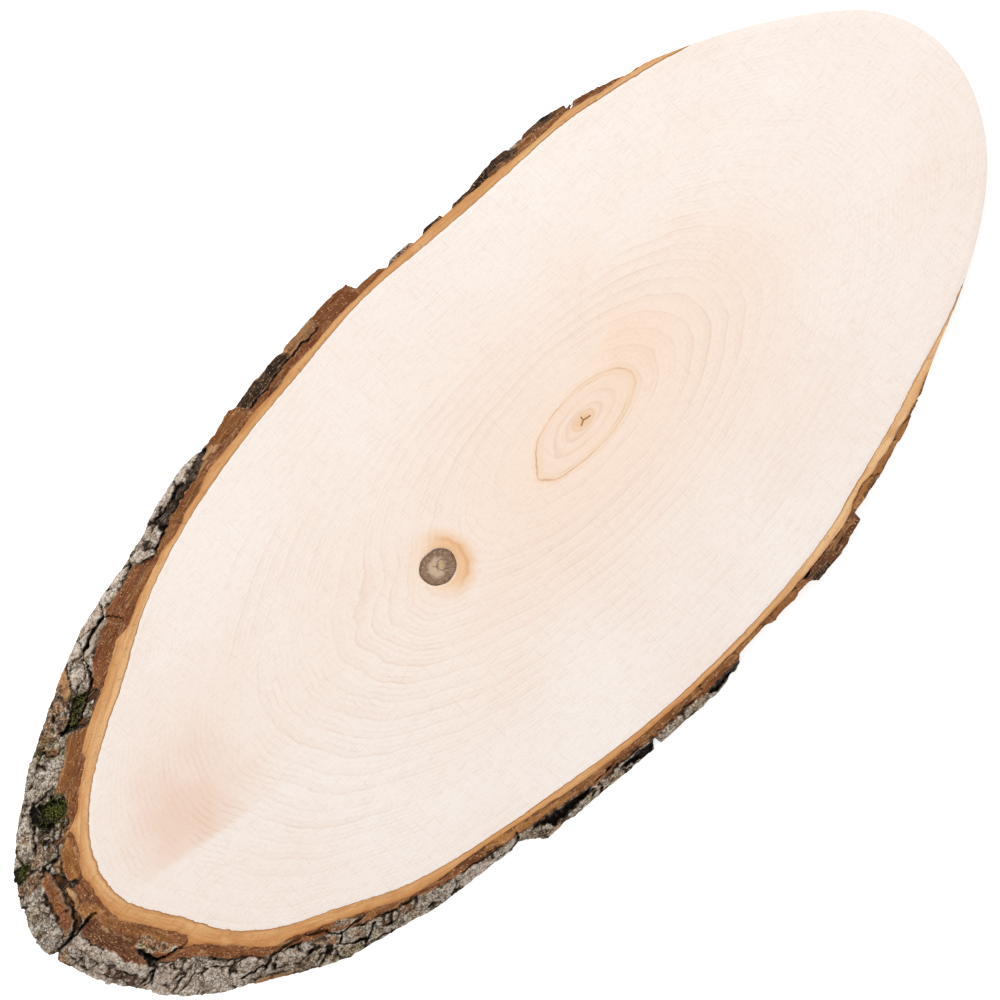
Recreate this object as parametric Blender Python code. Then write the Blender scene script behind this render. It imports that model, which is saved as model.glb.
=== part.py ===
"""A slice sawn across a tree trunk at a steep slant, with its bark on.

The trunk was nearly round. The saw ran at CUT_TILT from a square cut, so the face is a long oval, and below the
face every layer of the trunk runs on downwards and towards -X. A point is placed by its angle round the trunk, its
distance from the trunk's centre and its depth below the face. The +X end was trimmed upright, through the bark.

Metres, +Z up. The origin is the middle of the underside, +X points along the oval to the trimmed end.
"""

from math import ceil, cos, radians, tan

import bmesh
import bpy
import numpy as np
from mathutils import Matrix

MM = 0.001

# Driving dimensions
THICKNESS = 8.0 * MM
TRUNK_RADIUS = 88.0 * MM  # to the outside of the wood, under the bark
CUT_TILT = radians(65.0)
TRUNK_CENTRE = (19.72 * MM, 0.64 * MM)  # where the trunk's centre meets the face
GAP = 0.3 * MM  # kept between neighbouring pieces

KNOT_CENTRE = (-30.4 * MM, 4.2 * MM)
KNOT_RADIUS = 6.2 * MM
KNOT_LOBES = 3
KNOT_LOBE_HEIGHT = 0.25 * MM

FISSURE_BED = 0.9 * MM  # bark left below the fissures, outside the inner bark
PLATE_CROWN = 0.5  # mm, how much lower a plate is at its two edges
BARK_ROUGHNESS = 0.3 * MM
EDGE_ANGLE = 0.25  # degrees, the slant of a plate's side wall
PLATE_STEP = 2.2  # degrees between two points across a plate
RING_STEP = 2.0  # degrees between two points of the wood's outline
BARK_LEVELS = 6  # levels from the underside to the face

# The wood's outline: degrees round the trunk, mm outside the trunk's radius
WOOD_WAVES = [
    (0, 0.4), (15, 1.2), (30, 2.4), (42, 3.2), (50, 3.2), (57, 2.4), (65, 1.7), (70, -0.2), (76, -1.5),
    (81, -1.5), (90, 0.4), (100, -0.4), (110, 0.4), (125, 0.3), (131, -0.5), (140, -2.0), (146, -1.2),
    (152, 0.0), (160, 1.4), (166, 1.8), (176, 1.6), (181, 1.0), (187, -0.4), (193, -1.0), (200, -0.2),
    (210, 0.4), (219, -0.6), (230, 0.6), (240, -0.1), (250, -0.3), (258, 0.9), (272, 1.6), (280, 1.5),
    (286, 0.8), (291, -0.9), (298, -1.8), (305, -2.5), (312, -1.8), (325, -0.6), (342, 0.0),
]

# The inner bark: degrees round the trunk, thickness in mm
INNER_BARK_WAVES = [
    (0, 2.6), (30, 2.4), (60, 1.9), (64, 2.7), (70, 2.1), (78, 3.2), (92, 2.0), (103, 3.1), (112, 3.2),
    (120, 2.0), (128, 2.6), (136, 3.9), (145, 3.1), (152, 2.4), (160, 3.1), (165, 2.1), (171, 2.8),
    (180, 2.3), (193, 2.2), (199, 3.1), (210, 3.2), (220, 2.5), (230, 2.9), (241, 1.4), (248, 1.6),
    (258, 1.9), (270, 1.8), (280, 2.6), (289, 2.0), (295, 2.8), (301, 3.1), (320, 2.6),
]

# The trimmed end, on the face: degrees round the trunk, mm outside the trunk's radius
TRIM_LINE = [
    (-75, 9.0), (-70, 5.0), (-65, 3.4), (-60, 2.3), (-56, 0.4), (-52, -0.7), (-45, -1.1), (-30, -1.4),
    (-10, -1.7), (0, -1.3), (10, -0.4), (20, 0.7), (35, 1.4), (45, 2.8), (50, 3.7), (55, 5.0), (60, 6.3),
    (65, 7.8), (70, 10.0), (75, 13.0),
]
TRIM_POINTS = 60
TRIM_MARGIN = 60.0 * MM  # how far the trim's own outline clears the rest of the slice

# Bark plates: first and last degree, mm outside the trunk's radius at each of those, mm that the top edge lies
# below the face, and mm that the bottom edge lies above the underside
PLATES = [
    (-72, -58, 3.8, 9.0, 0, 0), (-57.4, -40, 9.0, 9.0, 0, 0), (-39.4, -21, 9.0, 9.0, 0, 0),
    (-20.4, -1, 9.0, 9.0, 0, 0), (-0.4, 17, 9.0, 9.0, 0, 0), (17.6, 34, 9.0, 9.0, 0, 0),
    (34.6, 63, 9.5, 9.5, 0, 0), (63.6, 73.5, 8.4, 6.5, 0, 0), (74, 78.2, 5.2, 3.4, 0, 0),
    (79, 82, 3.2, 2.8, 0, 0), (83, 86.4, 4.2, 3.4, 0, 0), (87, 90, 4.6, 4.6, 0, 0),
    (90.4, 98, 10.0, 9.0, 0, 0), (98.6, 104.8, 8.9, 8.4, 0, 0), (105.2, 109.6, 9.0, 8.2, 0, 0),
    (110.2, 118, 8.9, 9.6, 0, 0), (118.6, 122.4, 7.6, 7.6, 0.8, 0), (123, 128.6, 8.2, 9.6, 0, 0),
    (129.4, 139.6, 9.6, 8.7, 0, 0), (140.4, 144, 8.2, 8.2, 4.5, 0), (144.8, 152.4, 9.4, 8.7, 0, 0),
    (153.2, 157.4, 9.4, 9.4, 3.6, 0), (157.9, 164.4, 9.8, 9.2, 0, 0), (165, 176.4, 9.7, 8.4, 0, 0),
    (177.6, 187.8, 7.9, 6.9, 0, 0), (188.4, 193.6, 6.6, 6.2, 3.2, 0), (194.2, 203, 6.2, 6.6, 0, 0),
    (203.6, 212, 6.7, 6.1, 0, 0), (212.6, 219, 6.2, 7.3, 0, 0), (219.6, 226, 7.8, 7.4, 0, 1.6),
    (226.6, 236, 6.8, 7.3, 0, 0), (236.6, 243.4, 5.5, 4.4, 0, 0), (245.4, 253, 7.9, 8.7, 0, 0),
    (253.5, 259.2, 8.1, 9.1, 0, 1.6), (260.1, 265.8, 9.0, 10.6, 0, 0), (266.4, 270.4, 11.5, 9.4, 0, 0),
    (271.2, 274.4, 5.7, 5.6, 0, 0), (275, 279.2, 6.9, 7.6, 0, 0), (279.8, 287.4, 9.4, 9.0, 0, 0),
]

# Cracks in the sawn bark: degrees and mm outside the trunk's radius where one starts and where it ends, its width
# in mm and its depth in mm
CRACKS = [
    (95, 4.9, 104, 5.0, 0.9, 3.0), (110.6, 7.0, 117.4, 7.2, 1.6, 4.5), (126.8, 9.6, 138.6, 5.2, 1.1, 5.0),
    (166, 7.9, 175.6, 7.2, 1.0, 3.5), (193.2, 3.6, 197, 5.0, 1.7, 4.0), (213, 4.6, 222, 6.4, 0.9, 4.0),
    (247, 4.9, 252, 5.4, 1.9, 4.5), (254, 5.8, 258.6, 5.2, 1.4, 4.0), (266.2, 5.6, 269.8, 6.2, 1.4, 4.0),
]
CRACK_POINTS = 9


def smooth_ring(points, angles):
    """Height in metres at each angle in degrees: cubic pieces through the points, which close into a ring.

    Between two points the height eases from one to the other with the slopes that their neighbours give
    (Catmull-Rom), so the ring has no corner.
    """
    at = np.array([p[0] for p in points], float)
    height = np.array([p[1] for p in points], float) * MM
    at = np.concatenate([at[-2:] - 360, at, at[:3] + 360])
    height = np.concatenate([height[-2:], height, height[:3]])
    slope = np.gradient(height, at)
    angles = (np.asarray(angles, float) - at[2]) % 360 + at[2]
    left = np.clip(np.searchsorted(at, angles, side="right") - 1, 0, len(at) - 2)
    span = at[left + 1] - at[left]
    s = (angles - at[left]) / span
    return (
        height[left] * (1 + 2 * s) * (1 - s) ** 2
        + height[left + 1] * (3 - 2 * s) * s**2
        + slope[left] * span * s * (1 - s) ** 2
        - slope[left + 1] * span * (1 - s) * s**2
    )


def wood_radius(angles):
    """Distance from the trunk's centre to the outside of the wood."""
    return TRUNK_RADIUS + smooth_ring(WOOD_WAVES, angles)


def inner_bark_radius(angles):
    """Distance from the trunk's centre to the outside of the inner bark."""
    return wood_radius(angles) + smooth_ring(INNER_BARK_WAVES, angles)


def in_the_slice(angles, radius, depth):
    """Points x, y, z of trunk angles (degrees), distances from the trunk's centre and depths below the face.

    The face shows the trunk's section stretched along X by 1/cos(tilt), and a depth moves it by depth * tan(tilt)
    towards -X.
    """
    turn = np.radians(angles)
    x = TRUNK_CENTRE[0] + radius * np.cos(turn) / cos(CUT_TILT) - depth * tan(CUT_TILT)
    y = TRUNK_CENTRE[1] + radius * np.sin(turn)
    z = THICKNESS - depth + 0 * x
    return np.stack([x, y, z], axis=-1)


def material(name, colour, roughness):
    made = bpy.data.materials.new(name)
    made.use_nodes = True
    shader = made.node_tree.nodes["Principled BSDF"]
    shader.inputs["Base Color"].default_value = (*colour, 1.0)
    shader.inputs["Roughness"].default_value = roughness
    shader.inputs["Metallic"].default_value = 0.0
    return made


def collection(name):
    made = bpy.data.collections.new(name)
    bpy.context.scene.collection.children.link(made)
    return made


def outline_solid(name, points, bottom, top, slant, home):
    """A flat outline extruded from bottom to top, then leant so that below the face it runs towards -X.

    slant is the X shift for each metre of depth below the face: tan(CUT_TILT) along the trunk, 0 straight down.
    """
    curve = bpy.data.curves.new(name, "CURVE")
    curve.dimensions = "2D"
    curve.fill_mode = "BOTH"
    curve.extrude = (top - bottom) / 2
    spline = curve.splines.new("POLY")
    spline.points.add(len(points) - 1)
    spline.points.foreach_set("co", np.c_[points[:, :2], np.zeros(len(points)), np.ones(len(points))].ravel())
    spline.use_cyclic_u = True
    drawn = bpy.data.objects.new(name + "_outline", curve)
    home.objects.link(drawn)
    drawn.location.z = (top + bottom) / 2
    bpy.context.view_layer.update()
    solid = bpy.data.meshes.new_from_object(drawn.evaluated_get(bpy.context.evaluated_depsgraph_get()))
    place = drawn.matrix_world.copy()
    bpy.data.objects.remove(drawn)

    solid.transform(Matrix.Translation((0, 0, -THICKNESS)) @ place)
    solid.transform(Matrix.Shear("XY", 4, (slant, 0)))
    solid.transform(Matrix.Translation((0, 0, THICKNESS)))
    edit = bmesh.new()
    edit.from_mesh(solid)
    bmesh.ops.remove_doubles(edit, verts=edit.verts, dist=0.01 * MM)
    bmesh.ops.recalc_face_normals(edit, faces=edit.faces)
    edit.to_mesh(solid)
    edit.free()
    solid.name = name
    made = bpy.data.objects.new(name, solid)
    home.objects.link(made)
    return made


def cut(target, cutter, operation):
    """Add a Boolean that takes the cutter from the target, or keeps only what lies inside it."""
    step = target.modifiers.new(operation.title() + "_" + cutter.name, "BOOLEAN")
    step.operation = operation
    step.solver = "EXACT"
    step.object = cutter
    cutter.hide_render = True
    cutter.display_type = "WIRE"


def trunk_layer(name, radius, bottom, top, home):
    """Everything inside a layer of the trunk, between two heights of the slice."""
    angles = np.arange(0, 360, RING_STEP)
    outline = in_the_slice(angles, radius(angles), 0.0)
    return outline_solid(name, outline, bottom, top, tan(CUT_TILT), home)


def trim_block(home):
    """The block that the trimmed end leaves standing: upright along the trim line, wide of the slice elsewhere."""
    angles = np.linspace(TRIM_LINE[0][0], TRIM_LINE[-1][0], TRIM_POINTS)
    line = in_the_slice(angles, TRUNK_RADIUS + smooth_ring(TRIM_LINE, angles), 0.0)
    reach_x = TRUNK_RADIUS / cos(CUT_TILT) + TRIM_MARGIN
    reach_y = TRUNK_RADIUS + TRIM_MARGIN
    far = np.array(
        [
            (line[-1, 0], reach_y, 0),
            (-reach_x, reach_y, 0),
            (-reach_x, -reach_y, 0),
            (line[0, 0], -reach_y, 0),
        ]
    )
    return outline_solid("trim_block", np.concatenate([line, far]), -MM, THICKNESS + MM, 0.0, home)


def knot_outline(clearance):
    """A circle with a few low lobes: the dead branch, cut square."""
    turn = np.radians(np.arange(0, 360, 10.0))
    radius = KNOT_RADIUS + clearance + KNOT_LOBE_HEIGHT * np.sin(KNOT_LOBES * turn)
    return np.stack([KNOT_CENTRE[0] + radius * np.cos(turn), KNOT_CENTRE[1] + radius * np.sin(turn)], axis=-1)


def make_wood(parts, cutters, trim):
    wood = trunk_layer("wood", lambda a: wood_radius(a) - GAP / 2, 0.0, THICKNESS, parts)
    hole = outline_solid("knot_hole", knot_outline(GAP), -MM, THICKNESS + MM, 0.0, cutters)
    cut(wood, trim, "INTERSECT")
    cut(wood, hole, "DIFFERENCE")
    return wood


def make_dead_knot(parts):
    return outline_solid("dead_knot", knot_outline(0.0), 0.0, THICKNESS, 0.0, parts)


def make_inner_bark(parts, cutters, trim):
    ring = trunk_layer("inner_bark", lambda a: inner_bark_radius(a) - GAP / 2, 0.0, THICKNESS, parts)
    core = trunk_layer("wood_room", lambda a: wood_radius(a) + GAP / 2, -MM, THICKNESS + MM, cutters)
    cut(ring, core, "DIFFERENCE")
    cut(ring, trim, "INTERSECT")
    return ring


def bark_columns():
    """The bark's columns: each one's angle, its height in mm outside the trunk's radius and its plate's number.

    Each plate has a column at its two edges and about every PLATE_STEP degrees between them. Just outside an edge
    lies a column of the fissure's bed, which has neither height nor plate.
    """
    columns = []
    for number, (first, last, start, end, drop, lift) in enumerate(PLATES):
        steps = ceil((last - first) / PLATE_STEP)
        columns.append((first - EDGE_ANGLE, None, None))
        for i in range(steps + 1):
            s = i / steps
            height = start + s * (end - start) - PLATE_CROWN * (2 * s - 1) ** 4
            columns.append((first + s * (last - first), height, number))
        columns.append((last + EDGE_ANGLE, None, None))
    return columns


def make_outer_bark(parts, cutters, trim):
    """A ring of quads: a wall of plates outside, a smooth wall inside, and flat cuts above and below.

    The outer wall has one column of points for each angle and one row for each level. On a plate a point stands at
    the plate's own height, above a plate's top edge or below its bottom edge it drops to the fissure's bed.
    """
    rng = np.random.default_rng(7)
    columns = bark_columns()
    angles = np.array([column[0] for column in columns])
    levels = np.linspace(0.0, THICKNESS, BARK_LEVELS)
    inside = inner_bark_radius(angles) + GAP / 2
    bed = inside + FISSURE_BED
    outside = np.repeat(bed[:, None], BARK_LEVELS, axis=1)
    for i, (_, height, number) in enumerate(columns):
        if number is None:
            continue
        drop, lift = PLATES[number][4] * MM, PLATES[number][5] * MM
        on_plate = (levels <= THICKNESS - drop + 1e-9) & (levels >= lift - 1e-9)
        stand = TRUNK_RADIUS + height * MM + rng.uniform(-1, 1, BARK_LEVELS) * BARK_ROUGHNESS
        outside[i] = np.where(on_plate, np.maximum(stand, bed[i]), bed[i])

    count = len(angles)
    wall = in_the_slice(angles[:, None], outside, THICKNESS - levels[None, :])
    lower = in_the_slice(angles, inside, THICKNESS)
    upper = in_the_slice(angles, inside, 0.0)
    points = np.concatenate([wall.reshape(-1, 3), lower, upper])
    row = np.arange(count)
    after = (row + 1) % count
    at = row * BARK_LEVELS
    at_next = after * BARK_LEVELS
    low, high = count * BARK_LEVELS, count * BARK_LEVELS + count
    faces = []
    for level in range(BARK_LEVELS - 1):
        faces.append(np.stack([at + level, at_next + level, at_next + level + 1, at + level + 1], axis=1))
    faces.append(np.stack([low + row, high + row, high + after, low + after], axis=1))
    faces.append(np.stack([at + BARK_LEVELS - 1, at_next + BARK_LEVELS - 1, high + after, high + row], axis=1))
    faces.append(np.stack([low + row, low + after, at_next, at], axis=1))

    shape = bpy.data.meshes.new("outer_bark")
    shape.from_pydata(points.tolist(), [], np.concatenate(faces).tolist())
    edit = bmesh.new()
    edit.from_mesh(shape)
    bmesh.ops.triangulate(edit, faces=edit.faces)
    bmesh.ops.recalc_face_normals(edit, faces=edit.faces)
    edit.to_mesh(shape)
    edit.free()
    bark = bpy.data.objects.new("outer_bark", shape)
    parts.objects.link(bark)
    cut(bark, trim, "INTERSECT")
    for number, crack in enumerate(CRACKS):
        cut(bark, crack_block(number, crack, cutters), "DIFFERENCE")
    return bark


def crack_block(number, crack, home):
    """A lens-shaped pocket that runs down along the trunk from the face, from one place of the bark to another."""
    first, first_stand, last, last_stand, width, depth = crack
    s = np.linspace(0, 1, CRACK_POINTS)
    half_width = width * MM / 2 * np.sqrt(np.maximum(1 - (2 * s - 1) ** 2, 0.02))
    angles = first + s * (last - first)
    middle = TRUNK_RADIUS + (first_stand + s * (last_stand - first_stand)) * MM
    inner_side = in_the_slice(angles, middle - half_width, 0.0)
    outer_side = in_the_slice(angles, middle + half_width, 0.0)
    outline = np.concatenate([outer_side, inner_side[::-1]])
    top, bottom = THICKNESS + MM, THICKNESS - depth * MM
    return outline_solid(f"crack_{number + 1}", outline, bottom, top, tan(CUT_TILT), home)


def main():
    for old in list(bpy.data.objects):
        bpy.data.objects.remove(old)
    parts = collection("wood_slice")
    cutters = collection("cutters")
    trim = trim_block(cutters)

    wood = make_wood(parts, cutters, trim)
    wood.data.materials.append(material("sanded_alder", (0.87, 0.72, 0.58), 0.6))
    knot = make_dead_knot(parts)
    knot.data.materials.append(material("dead_branch_wood", (0.36, 0.22, 0.13), 0.75))
    inner = make_inner_bark(parts, cutters, trim)
    inner.data.materials.append(material("tan_inner_bark", (0.45, 0.24, 0.1), 0.8))
    outer = make_outer_bark(parts, cutters, trim)
    outer.data.materials.append(material("cracked_grey_bark", (0.22, 0.16, 0.11), 0.9))
    for piece in (wood, knot, inner):
        piece.data.shade_smooth()
        piece.data.set_sharp_from_angle(angle=radians(30.0))


main()
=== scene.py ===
# %% [markdown]
# # A slanted slice of a tree trunk
#
# The object is one slice sawn from an alder-like trunk at about 65 degrees from a square cut, so the round
# trunk shows as a long oval. It has four kinds of surface: pale sanded wood, the plug of a dead branch, a
# tan ring of inner bark, and grey cracked outer bark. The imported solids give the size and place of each;
# this script makes the surfaces that are seen, each in the place of its solid.

# %% Load the frame
import itertools

import bpy
import numpy as np
from mathutils import Matrix, Vector


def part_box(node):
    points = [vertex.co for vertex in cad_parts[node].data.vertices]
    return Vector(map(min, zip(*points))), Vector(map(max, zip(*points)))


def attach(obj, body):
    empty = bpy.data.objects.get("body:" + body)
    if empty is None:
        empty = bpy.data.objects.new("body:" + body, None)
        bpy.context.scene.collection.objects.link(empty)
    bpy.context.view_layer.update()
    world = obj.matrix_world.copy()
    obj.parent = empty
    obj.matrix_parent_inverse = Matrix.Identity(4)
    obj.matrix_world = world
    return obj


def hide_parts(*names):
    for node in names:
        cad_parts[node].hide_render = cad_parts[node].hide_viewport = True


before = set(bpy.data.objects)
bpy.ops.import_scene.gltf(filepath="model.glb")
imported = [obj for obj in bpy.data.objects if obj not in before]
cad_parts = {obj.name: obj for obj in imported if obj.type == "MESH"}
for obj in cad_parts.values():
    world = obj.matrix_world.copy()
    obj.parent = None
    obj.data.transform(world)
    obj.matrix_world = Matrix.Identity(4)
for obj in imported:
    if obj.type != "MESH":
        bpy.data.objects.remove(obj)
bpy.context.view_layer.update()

# %% [markdown]
# ## The trunk's own frame
#
# Everything in the slice follows the trunk and not the saw: rings, bark plates and cracks all run along the
# trunk. So the script works in millimetres in two frames. In the section frame a point is looked at along
# the trunk, where the wood is nearly a circle. In the plan frame it is looked at from above, where each
# layer is 1/cos(tilt) longer, and slides towards -X by depth * tan(tilt) as it goes down. Going back and
# forth between the two is one line each way.

# %% Sizes of the trunk, in mm
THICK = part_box("wood")[1][2] * 1000
RADIUS = 88.0
TILT = np.radians(65.0)
COS, SIN, TAN = np.cos(TILT), np.sin(TILT), np.tan(TILT)
CENTRE = np.array([19.72, 0.64])
KNOT = np.array([-30.4, 4.2])
PITH = np.array([42.3, 3.74])

# Degrees round the trunk, mm outside RADIUS
WOOD_EDGE = [
    (0, 0.4), (15, 1.2), (30, 2.4), (42, 3.2), (50, 3.2), (57, 2.4), (65, 1.7), (70, -0.2), (76, -1.5),
    (81, -1.5), (90, 0.4), (100, -0.4), (110, 0.4), (125, 0.3), (131, -0.5), (140, -2.0), (146, -1.2),
    (152, 0.0), (160, 1.4), (166, 1.8), (176, 1.6), (181, 1.0), (187, -0.4), (193, -1.0), (200, -0.2),
    (210, 0.4), (219, -0.6), (230, 0.6), (240, -0.1), (250, -0.3), (258, 0.9), (272, 1.6), (280, 1.5),
    (286, 0.8), (291, -0.9), (298, -1.8), (305, -2.5), (312, -1.8), (325, -0.6), (342, 0.0),
]
INNER_BARK_EDGE = [
    (0, 3.0), (15, 3.7), (30, 4.8), (45, 5.6), (52, 4.9), (57, 4.2), (60, 3.9), (64, 4.6), (66, 3.2),
    (70, 2.1), (76, 1.9), (90, 2.1), (93, 2.5), (97, 1.9), (100, 2.6), (102, 1.9), (105, 3.2), (108, 2.8),
    (112, 3.9), (115, 2.5), (117.4, 2.8), (118.6, 1.8), (120, 1.9), (122, 2.8), (126, 2.3), (128, 2.5),
    (130, 1.8), (131.6, 1.8), (133, 3.2), (135, 2.5), (140, 2.1), (145, 3.2), (148.4, 3.2), (150, 2.1),
    (152, 2.5), (154, 2.8), (158, 3.3), (160, 4.9), (162, 4.2), (165, 3.9), (169, 4.5), (173, 3.7),
    (176, 4.0), (180, 3.7), (182, 3.9), (184, 3.0), (187, 2.1), (190, 1.8), (193, 1.4), (195.6, 1.6),
    (196.8, 3.1), (198, 2.8), (200, 2.5), (205, 2.8), (210, 3.9), (212, 4.1), (214, 2.8), (217, 2.5),
    (220, 2.1), (225, 2.8), (230, 3.7), (233, 3.3), (236, 2.1), (239, 1.4), (241, 1.2), (247, 1.4),
    (250, 2.1), (253, 2.5), (258, 2.8), (262, 3.0), (265, 3.5), (270, 3.5), (275, 3.9), (278, 4.2),
    (286, 4.1), (287.6, 3.2), (289, 1.6), (291, 0.7), (292.5, 1.6), (294, 1.1), (295, 1.4), (298, 0.7),
    (299.4, 1.2), (301, 0.9), (305, 0.0), (310, 0.6), (325, 2.0), (342, 2.6),
]
TRIMMED_EDGE = [
    (-75, 9.0), (-70, 5.0), (-65, 3.4), (-60, 2.3), (-56, 0.4), (-52, -0.7), (-45, -1.1), (-30, -1.4),
    (-10, -1.7), (0, -1.3), (10, -0.4), (20, 0.7), (35, 1.4), (45, 2.8), (50, 3.7), (55, 5.0), (60, 6.3),
    (65, 7.8), (70, 10.0), (75, 13.0),
]
UNTRIMMED = 30.0  # mm outside RADIUS where nothing was trimmed off


# %% Helpers: rings of heights, and the two frames
def ring_heights(table, degrees):
    """Height at each angle: cubic pieces between the table's points with Catmull-Rom slopes, closed into a
    ring."""
    at, height = np.array(table, float).T
    at = np.concatenate([at[-2:] - 360, at, at[:3] + 360])
    height = np.concatenate([height[-2:], height, height[:3]])
    slope = np.gradient(height, at)
    degrees = (np.asarray(degrees, float) - at[2]) % 360 + at[2]
    left = np.clip(np.searchsorted(at, degrees, side="right") - 1, 0, len(at) - 2)
    span = at[left + 1] - at[left]
    s = (degrees - at[left]) / span
    return (
        height[left] * (1 + 2 * s) * (1 - s) ** 2
        + height[left + 1] * (3 - 2 * s) * s**2
        + slope[left] * span * s * (1 - s) ** 2
        - slope[left + 1] * span * (1 - s) * s**2
    )


def straight_heights(table, degrees):
    """Height at each angle: straight lines between the table's points, closed into a ring."""
    at, height = np.array(table, float).T
    return np.interp(np.asarray(degrees), at, height, period=360)


def trimmed_height(degrees):
    """Where the trimmed end cuts the slice off: the table's heights on the +X end, out of reach elsewhere."""
    signed = (np.asarray(degrees, float) + 180) % 360 - 180
    first, last = TRIMMED_EDGE[0][0], TRIMMED_EDGE[-1][0]
    inside = (signed >= first) & (signed <= last)
    return np.where(inside, ring_heights(TRIMMED_EDGE, signed), UNTRIMMED)


def plan_from_section(sx, sy, depth):
    """Section x, y and depth to plan x, y: stretch X by 1/cos(tilt), then slide by depth * tan(tilt) to
    -X."""
    return CENTRE[0] + sx / COS - depth * TAN, CENTRE[1] + sy


def section_from_plan(x, y, depth):
    """The same the other way round."""
    return (x - CENTRE[0]) * COS + depth * SIN, y - CENTRE[1]


def outline(heights, depth, count=1440):
    """Plan x, y of a layer's outline at a depth, from its heights outside RADIUS."""
    degrees = np.arange(count) * 360 / count
    turn = np.radians(degrees)
    radius = RADIUS + heights(degrees)
    return plan_from_section(radius * np.cos(turn), radius * np.sin(turn), depth)


print("slice", round(THICK, 2), "mm thick; layers run out", round(THICK * TAN, 1),
    "mm past the face at the -X end")

# %% [markdown]
# ## Small tools
#
# Colours are picked as sRGB hex values, as a paint program shows them, and Blender's shaders want linear
# light, so one function converts them. Noise for the shapes comes from a box of seeded random numbers that
# is read with soft steps between them: the same numbers every run. One function writes grids into meshes,
# and one adds shader nodes.


# %% Colour, noise, mesh and node helpers
def linear(colour):
    """sRGB hex to linear RGB: below 0.04045 a straight line, above it the 2.4 power curve."""
    value = np.array([int(colour[i : i + 2], 16) for i in (1, 3, 5)]) / 255
    return np.where(value <= 0.04045, value / 12.92, ((value + 0.055) / 1.055) ** 2.4)


def rgba(colour):
    return (*linear(colour), 1.0)


NOISE_BOX = np.random.default_rng(5).random((64, 64, 64), dtype=np.float32) * 2 - 1


def noise(x, y, z, size, shift=0.0):
    """Random values from -1 to 1 that change over about size mm: the box's numbers, eased by 3s^2 - 2s^3
    between."""
    total = 0.0
    whole, part = [], []
    for i, value in enumerate((x, y, z)):
        place = np.asarray(value, np.float32) / size + 19.7 + shift * (i + 1.3)
        low = np.floor(place)
        s = place - low
        whole.append(low.astype(np.int32) & 63)
        part.append(s * s * (3 - 2 * s))
    for corner in itertools.product((0, 1), repeat=3):
        weight = 1.0
        for up, s in zip(corner, part):
            weight = weight * (s if up else 1 - s)
        at = [(low + up) & 63 for low, up in zip(whole, corner)]
        total = total + weight * NOISE_BOX[at[0], at[1], at[2]]
    return total


def ease(low, high, value):
    """0 below low, 1 above high, and a soft S between them."""
    s = np.clip((np.asarray(value) - low) / (high - low), 0, 1)
    return s * s * (3 - 2 * s)


def blend(first, second, share):
    return first + (second - first) * share[..., None]


def paint_over(paint, *layers):
    """Painted colours laid over one another: each layer is a colour and its share at each point."""
    for own, share in layers:
        paint = blend(paint, linear(own), share)
    return paint


def add_mesh(name, points, quads, material, colours=None, **values):
    """A mesh object from points in mm and rows of three or four corners, with one number or colour for each
    point."""
    mesh = bpy.data.meshes.new(name)
    mesh.vertices.add(len(points))
    mesh.vertices.foreach_set("co", (points * 0.001).astype(np.float32).ravel())
    mesh.loops.add(quads.size)
    mesh.loops.foreach_set("vertex_index", quads.astype(np.int32).ravel())
    mesh.polygons.add(len(quads))
    mesh.polygons.foreach_set("loop_start", np.arange(0, quads.size, quads.shape[1], dtype=np.int32))
    mesh.polygons.foreach_set("use_smooth", np.ones(len(quads), bool))
    mesh.update(calc_edges=True)
    mesh.validate()
    if colours is not None:
        layer = mesh.attributes.new("tint", "FLOAT_COLOR", "POINT")
        layer.data.foreach_set("color", np.c_[colours, np.ones(len(points))].astype(np.float32).ravel())
    for key, value in values.items():
        layer = mesh.attributes.new(key, "FLOAT", "POINT")
        layer.data.foreach_set("value", np.asarray(value, np.float32).ravel())
    mesh.materials.append(material)
    piece = bpy.data.objects.new(name, mesh)
    bpy.context.scene.collection.objects.link(piece)
    print(name, len(points), "points,", len(quads) * (quads.shape[1] - 2), "triangles")
    return piece


def closed_grid(rows, columns):
    """Corners of the quads of a grid whose rows and columns both close into rings."""
    row, column = np.meshgrid(np.arange(rows), np.arange(columns), indexing="ij")
    below, beside = (row + 1) % rows, (column + 1) % columns
    corners = [row * columns + column, row * columns + beside, below * columns + beside,
        below * columns + column]
    return np.stack(corners, axis=-1).reshape(-1, 4)


def add_node(tree, kind, inputs=None, **settings):
    """One shader node: settings are its own properties, inputs are numbers, colours or other nodes'
    sockets."""
    made = tree.nodes.new("ShaderNode" + kind)
    for key, value in settings.items():
        setattr(made, key, value)
    for key, value in (inputs or {}).items():
        if isinstance(value, bpy.types.NodeSocket):
            tree.links.new(value, made.inputs[key])
        else:
            made.inputs[key].default_value = value
    return made


def new_material(name, roughness, specular=0.3):
    """An empty Principled material: the material, its node tree and its shader."""
    made = bpy.data.materials.new(name)
    made.use_nodes = True
    shader = made.node_tree.nodes["Principled BSDF"]
    shader.inputs["Roughness"].default_value = roughness
    shader.inputs["Specular IOR Level"].default_value = specular
    return made, made.node_tree, shader


def from_mesh(tree, key, output="Fac"):
    """A value that add_mesh kept at the mesh's points, as a shader socket."""
    return add_node(tree, "Attribute", attribute_name=key).outputs[output]


# %% [markdown]
# ## Floor, light and camera
#
# The slice lies on a white table and is seen from straight above, turned so that its long axis runs from
# lower left to upper right. A long lens far away keeps the face free of perspective. The light is soft from
# all round, with one large lamp from the upper side of the picture, so the bark's plates read without hard
# shadows.

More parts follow.
